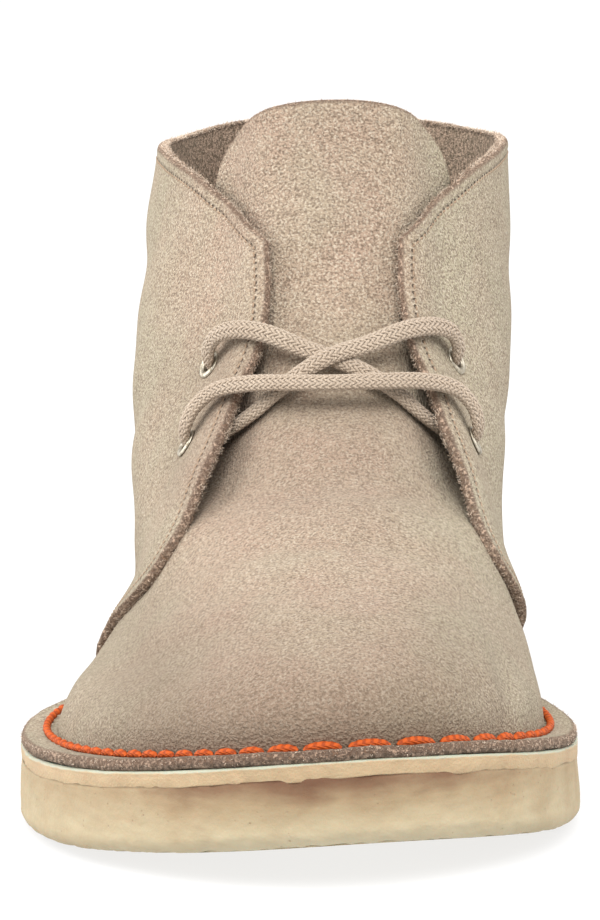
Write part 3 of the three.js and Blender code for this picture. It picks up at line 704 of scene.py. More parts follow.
def vamp_grid():
    """The vamp and tongue's underside, from side to side, and its lift off the last."""
    across, level, share = sheet_lines(**VAMP_MESH)
    side = np.where(across < 0, LATERAL, MEDIAL)
    top = TONGUE_RISE - TONGUE_ROUND * (1 - np.sqrt(np.maximum(1 - across ** 2, 0)))
    height = share * (top - FLANGE_BEND)
    rise = np.where(level < 0, 0, FLANGE_BEND + height)
    turn = 1 - abs(across) * (1 - edge_turn(VAMP_EDGE, rise))
    return put(leather_point(side, turn, level, height, 0.0)), tongue_dip(across, rise)


def quarter_grid():
    """The quarters' underside in one sheet round the heel, from the inner facing to the outer one, and
    its lift off the last. The turn depends on the rise and the rise on the turn, so both are repeated."""
    across, level, share = sheet_lines(**QUARTER_MESH)
    side = np.where(across < 0, MEDIAL, LATERAL)
    turn = abs(across) * edge_turn(QUARTER_EDGE, 0 * level)
    for _ in range(12):
        foot = FLANGE_BEND + quarter_lift(turn, 0 * turn)
        height = share * (along(COLLAR["at"], COLLAR["rise"], turn) * COLLAR_RISE - foot)
        rise = np.where(level < 0, 0, foot + height)
        turn = abs(across) * edge_turn(QUARTER_EDGE, rise)
    grid = put(leather_point(side, turn, level, height, quarter_lift(turn, 0 * turn)))
    return grid, np.where(level < 0, 0, quarter_lift(turn, rise))


def punched(points, outer_ids, inner_ids, outer_grid):
    """Faces of both layers, with a hole through them at each eyelet. A block of faces is left out, its
    border is drawn onto the barrel's circle, and a wall joins the two layers there."""
    cells = np.ones((outer_ids.shape[0] - 1, outer_ids.shape[1] - 1), bool)
    walls = []
    for _, centre, axis in eyelet_places():
        gap = np.linalg.norm(outer_grid - centre - axis * SUEDE, axis=2)
        i, j = np.unravel_index(gap.argmin(), gap.shape)
        row_step = np.linalg.norm(outer_grid[i + 1, j] - outer_grid[i - 1, j]) / 2
        column_step = np.linalg.norm(outer_grid[i, j + 1] - outer_grid[i, j - 1]) / 2
        down, over = max(1, round(HOLE_BLOCK / row_step)), max(1, round(HOLE_BLOCK / column_step))
        cells[i - down:i + down, j - over:j + over] = False
        a, b = np.arange(-down, down), np.arange(-over, over)
        rows = i + np.concatenate([0 * b - down, a, 0 * b + down, -a])
        cols = j + np.concatenate([b, 0 * a + over, -b, 0 * a - over])
        for ids in (outer_ids, inner_ids):
            at = points[ids[rows, cols]]
            height = ((at - centre) @ axis)[:, None] * axis
            points[ids[rows, cols]] = centre + height + unit(at - centre - height) * HOLE_RADIUS
        walls.append(quads(looped(np.stack([outer_ids[rows, cols], inner_ids[rows, cols]]))))
    mask = cells.ravel()
    return np.concatenate([quads(outer_ids)[mask], quads(inner_ids)[mask][:, ::-1], *walls])


def border_path(outer):
    """The raw edge of the quarters that shows: up one facing, round the collar and down the other."""
    path = np.concatenate([outer[FOOT_ROWS:, 0], outer[-1, 1:], outer[FOOT_ROWS:-1, -1][::-1]])
    return evenly(path, 0.8)


def fibres(name, path, normals, inward, count, seed, length, finish):
    """Loose fibres along a raw edge: thin three-sided spikes that lean away from it at random."""
    rng = np.random.default_rng(seed)
    at = rng.integers(0, len(path), count)
    jitter = rng.normal(size=(count, 3))
    root = path[at] + normals[at] * rng.uniform(-0.9, 0.9, (count, 1))
    root += inward[at] * rng.uniform(0.0, 0.5, (count, 1))
    way = unit(-inward[at] * rng.uniform(0.2, 1, (count, 1)) + 0.35 * normals[at] + 0.75 * jitter)
    reach = length * rng.uniform(0.35, 1, (count, 1)) ** 1.5
    side = unit(np.cross(way, rng.normal(size=(count, 3))))
    other = np.cross(way, side)
    base = [root + FIBRE_RADIUS * (math.cos(a) * side + math.sin(a) * other) for a in (0, 2.1, 4.2)]
    tip = root + way * reach + 0.3 * reach * unit(rng.normal(size=(count, 3)))
    points = np.stack(base + [tip], 1).reshape(-1, 3)
    corners = np.array([[0, 1, 3, 3], [1, 2, 3, 3], [2, 0, 3, 3], [0, 2, 1, 1]])
    faces = (4 * np.arange(count)[:, None, None] + corners).reshape(-1, 4)
    add_piece(name, points, faces, finish, "suede")


def swept(centres, flats, ups, widths, heights, sides):
    """Tubes along paths: rings of an ellipse about each centre. centres, flats and ups have a row for
    each tube; widths and heights have one more axis, for places round the ring."""
    angle = ring_angles(sides)
    ring = (
        centres[..., None, :]
        + flats[..., None, :] * (np.cos(angle) * widths)[..., None]
        + ups[..., None, :] * (np.sin(angle) * heights)[..., None]
    )
    tubes, steps = centres.shape[:2]
    ids = np.arange(tubes * steps * sides).reshape(tubes, steps, sides)
    following = np.roll(ids, -1, axis=2)
    faces = [quads(looped(tube)) for tube in ids]
    for k, (row, after) in enumerate(((following, ids), (ids, following))):
        hubs = np.repeat(ids.size + k * tubes + np.arange(tubes)[:, None], sides, 1)
        faces.append(np.stack([row[:, -k], after[:, -k], hubs, hubs], -1).reshape(-1, 4))
    points = np.concatenate([ring.reshape(-1, 3), centres[:, 0], centres[:, -1]])
    return points, np.concatenate(faces)


def ring_angles(sides):
    return 2 * math.pi * (np.arange(sides) + 0.5) / sides


# Materials

class Value:
    """A socket of a shader. Python's operators on it add Math nodes."""

    def __init__(self, finish, socket):
        self.finish = finish
        self.socket = socket

    def math(self, operation, *others):
        settings = {"operation": operation}
        return self.finish.node("ShaderNodeMath", settings, dict(enumerate((self, *others))))

    def _operator(operation):
        return lambda self, other: self.math(operation, other)

    __add__ = __radd__ = _operator("ADD")
    __sub__ = _operator("SUBTRACT")
    __mul__ = __rmul__ = _operator("MULTIPLY")
    __truediv__ = _operator("DIVIDE")
    __pow__ = _operator("POWER")

    def step(self, low, high):
        """0 below low and 1 above high, smooth between, or the other way round where low is larger."""
        settings = {"interpolation_type": "SMOOTHSTEP"}
        ends = (low, high, 0.0, 1.0) if low < high else (high, low, 1.0, 0.0)
        inputs = dict(zip(("Value", "From Min", "From Max", "To Min", "To Max"), (self, *ends)))
        return self.finish.node("ShaderNodeMapRange", settings, inputs)


class Finish:
    """A node material. node() adds any node; what a method gives back goes into others or onto show()."""

    def __init__(self, name, **constants):
        self.material = bpy.data.materials.new(name)
        self.material.use_nodes = True
        self.tree = self.material.node_tree
        self.shader = self.tree.nodes["Principled BSDF"]
        for socket, value in constants.items():
            self.shader.inputs[socket.replace("_", " ")].default_value = value
        self.place = self.node("ShaderNodeTexCoord", output="Object")

    def node(self, kind, settings=None, inputs=None, output=0):
        made = self.tree.nodes.new(kind)
        for name, value in (settings or {}).items():
            setattr(made, name, value)
        for name, value in (inputs or {}).items():
            self._feed(made.inputs[name], value)
        return Value(self, made.outputs[output])

    def _feed(self, socket, value):
        if isinstance(value, Value):
            self.tree.links.new(value.socket, socket)
        else:
            socket.default_value = (*value, 1) if socket.type == "RGBA" else value

    def mark(self, name):
        return self.node("ShaderNodeAttribute", {"attribute_name": name}, output="Fac")

    def millimetres(self, axis):
        """The object's coordinate along one axis."""
        return self.node("ShaderNodeSeparateXYZ", None, {"Vector": self.place}, output=axis) / MM

    def noise(self, size, detail=2.0, roughness=0.5, where=None):
        """Noise whose features are about size millimetres."""
        inputs = {"Vector": where or self.place, "Scale": 1 / (size * MM), "Detail": detail, "Roughness": roughness}
        return self.node("ShaderNodeTexNoise", None, inputs)

    def cells(self, size):
        inputs = {"Vector": self.place, "Scale": 1 / (size * MM)}
        return self.node("ShaderNodeTexVoronoi", None, inputs, "Distance")

    def stretched(self, x, y, z):
        """The object's coordinates, stretched along each axis."""
        return self.node("ShaderNodeMapping", None, {"Vector": self.place, "Scale": (1 / x, 1 / y, 1 / z)})

    def mix(self, share, first, second):
        return self.node("ShaderNodeMix", {"data_type": "RGBA"}, {0: share, 6: first, 7: second}, output=2)

    def layers(self, base, *layers):
        """A base with colours mixed over it, one after another, each by its share."""
        for share, colour in layers:
            base = self.mix(share, base, colour)
        return base

    def twist(self, pitch):
        """A wave along the run mark."""
        return (self.mark("run") * (2 * math.pi / pitch)).math("SINE")

    def ramp(self, share, *stops):
        made = self.node("ShaderNodeValToRGB", None, {"Fac": share})
        elements = made.socket.node.color_ramp.elements
        while len(elements) < len(stops):
            elements.new(0.5)
        for element, (position, colour) in zip(elements, stops):
            element.position, element.color = position, (*colour, 1)
        return made

    def show(self, colour, roughness, relief=None, depth=0):
        """Feeds the shader. relief is a height, and depth its size in millimetres."""
        self._feed(self.shader.inputs["Base Color"], colour)
        self._feed(self.shader.inputs["Roughness"], roughness)
        if relief is not None:
            bump = self.node("ShaderNodeBump", None, {"Height": relief, "Distance": depth * MM, "Strength": 1.0})
            self._feed(self.shader.inputs["Normal"], bump)
        return self


def srgb(red, green, blue):
    """A colour from its usual 0 to 255 values, as the shader needs it."""
    return tuple(((v / 255 + 0.055) / 1.055) ** 2.4 if v > 10 else v / 255 / 12.92 for v in (red, green, blue))


SUEDE_PINK = srgb(164, 141, 122)
SUEDE_GREEN = srgb(158, 148, 125)
# dark flecks of nap, also used as painted shade low on the toe and under the lace
SUEDE_DARK_FLECK_AND_SHADE = srgb(106, 89, 74)
SUEDE_PALE = srgb(196, 183, 164)
RIM_DARK = srgb(118, 90, 71)
RIM_PALE = srgb(202, 171, 148)
# the flange's raw edge: brown cut suede, deepened as painted shade
LIP_EDGE_AND_SHADE = srgb(98, 71, 52)
# painted shade inside the needle holes
HOLE_SHADE = srgb(70, 54, 43)
# the flesh side inside the boot, darkened as painted shade
LINING_AND_SHADE = srgb(90, 76, 61)
# The crepe's tones up its side: pale rubber below, darkening towards the top as painted shadow and painted reddish
# reflection.
CREPE_TONES_AND_SHADE = (
    (0.0, srgb(190, 179, 151)),
    (0.3, srgb(174, 159, 130)),
    (0.6, srgb(153, 133, 104)),
    (0.85, srgb(120, 93, 71)),
    (1.0, srgb(104, 75, 57)),
)


def suede_finish():
    """Brushed suede: mottled between two beiges, with pale and dark flecks of nap, with painted shade low on
    the toe and painted shadow in a band under the lace, with rough raw edges, the flange's edge brown and
    deepened by painted shade, a rougher inside darkened by painted shade, and a row of needle holes with
    painted shade in them where the seam mark says."""
    f = Finish("sand_suede", Sheen_Weight=0.05, Sheen_Roughness=0.6, Specular_IOR_Level=0.1)
    height, aside = f.millimetres(2), f.millimetres(0).math("ABSOLUTE")
    # Painted shade masks: one low on the toe, one in a band under the lace where its shadow falls
    toe = height.step(62, 20) * aside.step(56, 22)
    under_lace_shade = height.step(52, 67) * height.step(100, 82) * aside.step(42, 16)
    patches = f.noise(26, 3.0).step(0.38, 0.62) * 0.5 + f.noise(7, 2.0).step(0.35, 0.65) * 0.2
    grain, nap = f.noise(0.55, 1.5), f.noise(2.6, 2.0)
    frayed = f.noise(0.8, 4.0, 0.7).step(0.4, 0.6)
    rim, lip, lining = (f.mark(name) for name in ("rim", "lip", "lining"))
    hole, groove = seam_holes(f)
    base = f.layers(
        f.mix(patches * 0.8 + aside.step(14, 38) * 0.7, SUEDE_PINK, SUEDE_GREEN),
        (grain.step(0.58, 0.36) * 0.66, SUEDE_DARK_FLECK_AND_SHADE),
        (f.noise(0.5, 1.5).step(0.5, 0.66) * 0.6, SUEDE_PALE),
        (f.noise(1.1, 2.0).step(0.46, 0.34) * 0.35, SUEDE_DARK_FLECK_AND_SHADE),
        (f.noise(14, 3.0).step(0.3, 0.75) * 0.1, SUEDE_PALE),
        # painted shade low on the toe and painted shadow under the lace
        (toe * 0.75, SUEDE_DARK_FLECK_AND_SHADE),
        (under_lace_shade * 0.3, SUEDE_DARK_FLECK_AND_SHADE),
        (rim * 0.75, f.mix(frayed, RIM_DARK, RIM_PALE)),
        # the flange's raw edge: brown cut fibres, with painted shade strongest at the front
        (lip * (aside.step(52, 14) * 0.5 + frayed * 0.4), LIP_EDGE_AND_SHADE),
        # the inside: flesh-side colour, darkened as painted shade
        (lining * 0.8, f.mix(f.noise(0.9, 3.0).step(0.35, 0.65), LINING_AND_SHADE, SUEDE_PINK)),
        # painted shade in the needle holes
        (hole * 0.8, HOLE_SHADE),
    )
    relief = grain * 0.7 + nap * 0.3 + f.noise(0.3, 2.0) * 0.2 - hole * 0.8 - groove * 0.25 + frayed * rim * 0.7
    return f.show(base, 0.88 + nap * 0.12, relief, 1.0)


def seam_holes(f):
    """Needle holes along the seam mark, at each whole pitch of the run mark, and the groove between."""
    inset = (f.mark("seam") - SEAM_INSET).math("ABSOLUTE")
    uneven = f.noise(4.0, 1.0) * 0.7
    beside = ((f.mark("run") / SEAM_PITCH + uneven).math("FRACT") - 0.5).math("ABSOLUTE") * SEAM_PITCH
    away = (inset * inset + beside * beside) ** 0.5
    return away.step(0.44, 0.2), inset.step(0.7, 0.1)


def crepe_finish(name="natural_crepe"):
    """Natural crepe rubber: waxy and cloudy, pale towards the floor, and dark and reddish under the midsole with
    painted shadow and a painted reddish reflection.
    """
    f = Finish(name, Subsurface_Weight=0.1, Subsurface_Scale=0.003, Specular_IOR_Level=0.2)
    cloud = f.noise(11, 3.0)
    streaks = f.noise(1, 3.0, where=f.stretched(9, 9, 1.6))
    specks = f.cells(1.6).step(0.16, 0.1) * f.noise(5).step(0.5, 0.62)
    # the level mark carries the painted shadow up the side, mottled by cloud and streaks
    tone_and_shade = f.mark("level") + (cloud - 0.5) * 0.35 + (streaks - 0.5) * 0.22
    base = f.layers(f.ramp(tone_and_shade, *CREPE_TONES_AND_SHADE), (specks * 0.35, srgb(140, 110, 84)))
    crinkle = f.noise(1.1, 3.0, 0.6) * 0.6 + f.noise(4.5, 2.0) * 0.4 - specks * 0.4
    return f.show(base, 0.7 + cloud * 0.2, crinkle, 0.25)


def midsole_finish():
    """Pale rubber with a line of set adhesive along its top, and painted shadow along its bottom edge."""
    f = Finish("midsole_rubber", Subsurface_Weight=0.1, Subsurface_Scale=0.003)
    level = f.mark("level")
    top = (level + (f.noise(5, 2.0) - 0.5) * 0.3).step(0.78, 0.9)
    body = f.mix(f.noise(6, 3.0), srgb(180, 158, 124), srgb(164, 138, 106))
    # the dark line along the bottom is painted shadow where the midsole meets the outsole
    base = f.layers(body, (top, srgb(166, 166, 146)), (level.step(0.14, 0.0) * 0.1, srgb(120, 90, 68)))
    return f.show(base, 0.75, f.noise(1.3, 3.0) + f.noise(0.5), 0.16)


def insole_finish():
    """Vegetable-tanned leather with fine pores."""
    f = Finish("insole_leather", Specular_IOR_Level=0.3)
    pores = f.cells(0.7).step(0.25, 0.1)
    body = f.mix(f.noise(18, 3.0), srgb(176, 140, 104), srgb(150, 116, 84))
    base = f.layers(body, (pores * 0.4, srgb(104, 76, 54)))
    return f.show(base, 0.62 + f.noise(6) * 0.15, f.noise(1.2, 3.0) - pores * 0.5, 0.15)


def cotton_finish():
    """Cotton yarn, its fibres twisted along the run mark, with dark flecks of painted shade between them."""
    f = Finish("cotton_lace", Sheen_Weight=0.2, Sheen_Roughness=0.5, Specular_IOR_Level=0.15)
    fine = f.noise(0.22, 2.0)
    body = f.mix(f.noise(9, 2.0), srgb(190, 174, 155), srgb(174, 156, 137))
    # painted shade: dark flecks between the fibres
    base = f.layers(body, (fine.step(0.6, 0.35) * 0.5, srgb(98, 80, 64)))
    return f.show(base, 0.9, f.twist(PLY_PITCH) * 0.35 + fine, 0.1)


def thread_finish():
    """Waxed orange thread in two plies."""
    f = Finish("orange_thread", Specular_IOR_Level=0.2)
    twist = f.twist(THREAD_PITCH)
    body = f.mix(twist.step(-0.9, 0.4), srgb(146, 58, 16), srgb(184, 80, 24))
    base = f.layers(body, (f.noise(0.35, 2.0).step(0.5, 0.72) * 0.25, srgb(204, 108, 60)))
    return f.show(base, 0.6, f.noise(0.25, 2.0) + twist * 0.4, 0.12)


def seam_thread_finish():
    f = Finish("seam_thread", Specular_IOR_Level=0.2)
    base = f.mix(f.noise(0.5, 2.0), srgb(166, 143, 120), srgb(134, 112, 92))
    return f.show(base, 0.8, f.noise(0.2, 2.0), 0.08)


def metal_finish():
    """Pale brushed metal, a little tarnished."""
    f = Finish("eyelet_metal", Metallic=1.0)
    tarnish = f.noise(1.2, 3.0)
    base = f.mix(tarnish.step(0.4, 0.7), srgb(186, 178, 162), srgb(138, 128, 110))
    return f.show(base, 0.38 + tarnish * 0.2, f.noise(0.3, 2.0), 0.03)


def fibre_finish():
    f = Finish("loose_fibres", Specular_IOR_Level=0.1, Sheen_Weight=0.2)
    base = f.mix(f.noise(1.5, 3.0).step(0.4, 0.6), srgb(172, 146, 124), srgb(226, 206, 184))
    return f.show(base, 0.95, f.noise(0.3), 0.05)


# The view: a camera in front of the toe, soft light and a pale floor

CAMERA = {"place": (10.707, -1106.0, 186.0), "yaw": -0.5, "pitch": 6.2492, "roll": -1.183}
IMAGE_FOCUS = 5217.3  # focal length in pixels of the image
IMAGE_HEIGHT = 920
SENSOR = 36


def add_camera():
    """Looks along yaw and down by pitch, rolled about its own axis."""
    yaw, pitch, roll = (math.radians(CAMERA[k]) for k in ("yaw", "pitch", "roll"))
    data = bpy.data.cameras.new("camera")
    data.sensor_width = SENSOR
    data.lens = SENSOR * IMAGE_FOCUS / IMAGE_HEIGHT
    camera = shown("camera", data)
    turned = Matrix.Rotation(-yaw, 4, "Z") @ Matrix.Rotation(math.pi / 2 - pitch, 4, "X")
    camera.matrix_world = Matrix.Translation(np.array(CAMERA["place"]) * MM) @ turned @ Matrix.Rotation(roll, 4, "Z")
    bpy.context.scene.camera = camera


# Softboxes: place and aim in millimetres, size of the side in millimetres, power in watts.
LIGHTS = {
    "left": {"place": (-900, 120, 420), "power": 8.5},
    "right": {"place": (900, 120, 440), "power": 4.5},
}
LIGHTS_AIM = (0, -40, 70)
LIGHTS_SIZE = 700
SKY_ENERGY = 1.15 * math.pi
SKY_ANGLE = 50  # how wide the sky's light is spread
SKY_TILT = 38  # how far it comes from the front
WORLD_STRENGTH = 0.8
FLOOR_REACH = 20000  # from its middle to each side
FLOOR_GLOW = 0.76  # light of its own, so that it stays pale


def add_lights():
    for name, light in LIGHTS.items():
        data = bpy.data.lights.new(name, "AREA")
        data.size, data.energy = LIGHTS_SIZE * MM, light["power"]
        place = Vector(light["place"])
        aim = (place - Vector(LIGHTS_AIM)).to_track_quat("Z", "Y").to_matrix().to_4x4()
        shown(name, data).matrix_world = Matrix.Translation(place * MM) @ aim
    sky = bpy.data.lights.new("sky", "SUN")
    sky.energy, sky.angle = SKY_ENERGY, math.radians(SKY_ANGLE)
    tilt = Matrix.Rotation(math.radians(SKY_TILT), 4, "X")
    shown("sky", sky).matrix_world = Matrix.Translation((0, 0, 2)) @ tilt
    world = bpy.data.worlds.new("studio")
    world.use_nodes = True
    inputs = world.node_tree.nodes["Background"].inputs
    inputs["Color"].default_value = (1, 1, 1, 1)
    inputs["Strength"].default_value = WORLD_STRENGTH
    bpy.context.scene.world = world


def add_floor():
    """A pale floor as far as the eye reaches, smooth but for a trace of grain."""
    size = FLOOR_REACH * MM
    mesh = bpy.data.meshes.new("floor")
    mesh.from_pydata([(-size, -size, 0), (size, -size, 0), (size, size, 0), (-size, size, 0)], [], [(0, 1, 2, 3)])
    f = Finish("pale_floor", Specular_IOR_Level=0.1, Emission_Color=(1, 1, 1, 1), Emission_Strength=FLOOR_GLOW)
    f.show(f.mix(f.noise(40, 2.0), (0.2, 0.2, 0.2), (0.18, 0.18, 0.18)), 0.9)
    floor = shown("floor", mesh, f)


# The pieces

def ring_sides(count):
    """Side and turn of count points right round the outline: up the inner side, back down the outer."""
    way = 2 * np.arange(count) / count
    return np.where(way <= 1, MEDIAL, LATERAL), np.where(way <= 1, way, 2 - way)


def raised(plan, height):
    """A plan with the height that a function of station and x gives it."""
    return np.concatenate([plan, height(plan[..., 1], plan[..., 0])[..., None]], -1)


def slab(points, across, cap_height):
    """Points and faces of a slab from closed rows of points. Each cap is a grid from side to side that
    shares its row's points; cap_height gives the inner ones their height, by row."""
    count = points.shape[1]
    half = np.arange(count // 2 + 1)
    ids = np.arange(points.shape[0] * count).reshape(-1, count)
    flat, faces, used = [points.reshape(-1, 3)], [quads(looped(ids))], ids.size
    share = np.linspace(0, 1, across + 1)[1:-1]
    for row in (0, -1):
        ends = (half, -half % count)
        a, b = (points[row, end] for end in ends)
        middle = a[:, None] * (1 - share)[None, :, None] + b[:, None] * share[None, :, None]
        middle[..., 2] = cap_height(middle, row)
        cap = np.empty((len(half), across + 1), int)
        cap[:, 0], cap[:, -1] = (ids[row, end] for end in ends)
        cap[:, 1:-1] = used + np.arange(middle[..., 0].size).reshape(len(half), -1)
        cap[[0, -1], 1:-1] = cap[[0, -1], :1]
        used += middle[..., 0].size
        flat.append(middle.reshape(-1, 3))
        faces.append(quads(cap)[:, ::-1] if row == 0 else quads(cap))
    return np.concatenate(flat), np.concatenate(faces)


def sole_mesh(profile, across=22):
    """A slab of the outline. profile gives, for each row from the floor up, the inset and the height
    function. Returns points, faces and how many of the points lie on the side."""
    side, turn = ring_sides(SOLE_POINTS)
    rows = [raised(inset_outline(side, turn, i(turn) if callable(i) else i), height) for i, height in profile]
    points, faces = slab(np.stack(rows), across, lambda m, row: profile[row][1](m[..., 1], m[..., 0]))
    return points, faces, len(rows) * SOLE_POINTS


def drawn_in(points, middle, depth):
    """Moves points sideways towards the upright axis over a station of the heel's axis, by depth."""
    points[..., :2] -= unit(points[..., :2] - np.array([0, middle])) * depth[..., None]


def add_outsole(finish):
    """The crepe slab: rounded and uneven below, its side faintly wavy, its top edge worn soft."""
    def past_heel(station):
        return ease(HEEL_LENGTH, HEEL_LENGTH + 30, station)

    def rounding(turn):
        return OUTSOLE_ROUNDING * (0.1 + 0.9 * past_heel(LENGTH * share_at(turn)))

    def lower(angle):
        bulge, lift = 1 - math.cos(angle), 1 - math.sin(angle)
        return (
            lambda turn: rounding(turn) * lift,
            lambda s, x: sole_bottom(s, x) + rounding(turn_at(np.clip(s / LENGTH, 0, 1))) * bulge,
        )

    profile = [lower(a) for a in np.linspace(0, math.pi / 2, 9)]
    for share in np.linspace(0.27, 0.96, 18):
        profile.append((0.5 * share ** 3, lambda s, x, k=share: sole_bottom(s, x) + OUTSOLE_THICKNESS * k))
    profile.append((0.65, outsole_top))
    points, faces, ring_count = sole_mesh(profile)
    level = np.clip((points[:, 2] - sole_bottom(points[:, 1], points[:, 0])) / OUTSOLE_THICKNESS, 0, 1)
    side_rows = np.arange(len(points)) < ring_count
    wave = ripples(points, (0.22, 26, 11), (0.13, 8, 12), (0.07, 3.2, 13))
    edge = np.exp(-((level - 0.08) / 0.12) ** 2) * 0.2 * ripple(points, 5, 14)
    drawn_in(points, LENGTH / 2, (abs(wave) * 0.8 + abs(edge)) * side_rows)
    worn = 0.22 * abs(ripple(points, 6, 15)) * (level < 0.3) * past_heel(points[:, 1])
    points[:, 2] += worn * side_rows * (1 - level / 0.3)
    # Painted shadow and painted reddish reflection: the top of the side darkens fully at the front, less elsewhere.
    front = np.exp(-((points[:, 0] / 36) ** 2)) * ease(200, 280, points[:, 1])
    tone_and_shade = (level * 0.2 + 0.3) * (1 - front) + level * front
    add_piece("outsole_crepe", put(points), faces, finish, "crepe", ["outsole"], {"level": tone_and_shade})


def add_midsole(finish):
    """The thin midsole, with a bead of adhesive that wanders along its top edge."""
    def at(share):
        rise = (MIDSOLE_THICKNESS + 3.5 * GAP) * share - GAP
        return lambda s, x: outsole_top(s, x) + rise

    def inset(share):
        bead = 0.12 * math.exp(-((share - BEAD_LEVEL) / 0.12) ** 2)
        return 0.6 - 0.15 * math.sin(math.pi * share) - bead + 0.5 * max(0, share - BEAD_LEVEL) / 0.14

    shares = np.linspace(0, 1, 15)
    profile = [(2.0, at(0)), *((inset(share), at(share)) for share in shares), (2.6, at(0.9))]
    points, faces, ring_count = sole_mesh(profile, across=4)
    level = np.full(len(points), 0.5)
    level[:ring_count] = np.repeat([0, *shares, 1], SOLE_POINTS)
    wave = ripples(points, (0.16, 14, 21), (0.1, 4, 22))
    drawn_in(points, LENGTH / 2, wave * (np.arange(len(points)) < ring_count))
    droop = ripples(points * [1, 1, 0], (0.22, 22, 23), (0.1, 7, 24))
    points[:, 2] += np.where(level < 0.5, (droop - 0.1) * (1 - 2 * level), 0)
    add_piece("midsole_layer", put(points), faces, finish, "midsole_rubber", ["midsole"], {"level": level})


def add_heel(finish):
    """The heel block: the outline's back, cut straight across at the breast."""
    turns = np.linspace(0, float(turn_at(HEEL_LENGTH / LENGTH)), 150)
    across = np.linspace(0, 1, 72)[1:-1, None]

    def ring(inset, low, share=0.0):
        """One row round the block, a share of the way from the level low to the block's top."""
        inner = inset_outline(MEDIAL, turns, inset)
        outer = inset_outline(LATERAL, turns, inset)[:0:-1]
        breast = inner[-1] * (1 - across) + outer[0] * across
        breast[:, 1] -= inset
        plan = np.concatenate([inner, breast, outer])
        return raised(plan, lambda s, x: low + (sole_bottom(s, x) - GAP / 2 - low) * share)

    radius = HEEL_ROUNDING
    rows = [ring(radius * 4, 0)]
    rows += [ring(radius * (1 - math.sin(a)), radius * (1 - math.cos(a))) for a in np.linspace(0, math.pi / 2, 8)]
    rows += [ring(0.0, radius, share) for share in np.linspace(0.1, 1, 12)]
    rows.append(ring(radius * 3, radius, 1))
    points = np.stack(rows)
    # darker towards the top, up the crepe ramp into its painted shade under the outsole
    level = np.clip(points[..., 2] / HEEL_LIFT, 0, 1) * 0.55
    wave = ripples(points, (0.16, 18, 31), (0.1, 5, 32), (0.06, 2.6, 33))
    wave[[0, -1]] = 0
    drawn_in(points, HEEL_LENGTH / 2, abs(wave))
    ids = np.arange(level.size).reshape(level.shape)
    faces = [quads(looped(ids))]
    for row, hub in ((ids[0][::-1], ids.size), (ids[-1], ids.size + 1)):
        faces.append(np.stack([row, np.roll(row, -1), 0 * row + hub, 0 * row + hub], -1))
    flat = np.concatenate([points.reshape(-1, 3), points[[0, -1]].mean(1)])
    marks = {"level": [*level.ravel(), 0, 0.5]}
    add_piece("heel_crepe", put(flat), np.concatenate(faces), finish, "heel_crepe", ["heel"], marks)


def add_insole(finish):
    """The insole, to the wall all round, with a soft dish under heel and ball."""
    side, turn = ring_sides(400)
    inward = outline_inward(side, turn)

    def ring(rise, inset):
        plan = last_point(side, turn, rise)[:, :2] + inward * (INSOLE_GAP + inset)
        return raised(plan, lambda s, x: last_bottom(s, x) + rise)

    def cap_height(middle, row):
        if row == 0:
            return middle[..., 2]
        steps, across = middle.shape[:2]
        dip = np.sin(math.pi * np.linspace(0, 1, steps))[:, None]
        dip = dip * np.sin(math.pi * np.linspace(0, 1, across + 2)[1:-1])
        return middle[..., 2] - INSOLE_DISH * dip ** 1.5

    angles = np.linspace(0, math.pi / 2, 6)
    rows = [ring(0, 0), *(ring(INSOLE_THICKNESS - 1 + math.sin(a), 1 - math.cos(a)) for a in angles)]
    points, faces = slab(np.stack(rows), 40, cap_height)
    add_piece("insole_board", put(points), faces, finish, "insole_leather", ["insole"])


def add_vamp(finish):
    """Vamp and tongue in one sheet, with its soft creases. Returns its outer side and the normals."""
    grid, dip = vamp_grid()
    relief = dip + crease_relief(grid, VAMP_CREASES) + ripples(grid, (0.16, 34, 41), (0.07, 12, 42))
    points, outer_ids, inner_ids, marks, outer, normals = leather_shell(grid, relief)
    faces = np.concatenate([quads(outer_ids), quads(inner_ids)[:, ::-1]])
    marks["seam"] = np.full(len(points), NO_SEAM)
    add_piece("vamp_and_tongue", points, faces, finish, "suede", ["upper"], marks)
    return outer, normals


def add_quarters(finish):
    """Both quarters in one sheet round the heel, with creases, eyelet holes and the seam's groove.
    Returns its outer side, the normals and the raw edge that shows."""
    grid, lift = quarter_grid()
    relief = lift + crease_relief(grid, QUARTER_CREASES) + ripples(grid, (0.08, 46, 51), (0.02, 15, 52))
    points, outer_ids, inner_ids, marks, outer, normals = leather_shell(grid, relief)
    border = border_path(outer)
    count = outer_ids.size
    seam, run = nearest_on(border, points[:count])
    points[:count] -= normals.reshape(-1, 3) * (0.1 * np.exp(-((seam - SEAM_INSET) / 0.55) ** 2))[:, None]
    inside = len(points) - count
    marks["seam"] = np.concatenate([seam, np.full(inside, NO_SEAM)])
    marks["run"] = np.concatenate([run, np.zeros(inside)])
    add_piece("quarters", points, punched(points, outer_ids, inner_ids, outer), finish, "suede", ["upper"], marks)
    return outer, normals, border


def path_frame(path, surface, normals):
    """Surface normals and the inward direction along the raw edge of a sheet."""
    n = normals[nearest(path, surface)]
    side = unit(np.cross(n, unit(np.gradient(path, axis=0))))
    return n, side * np.sign(((surface.mean(0) - path) * side).sum())


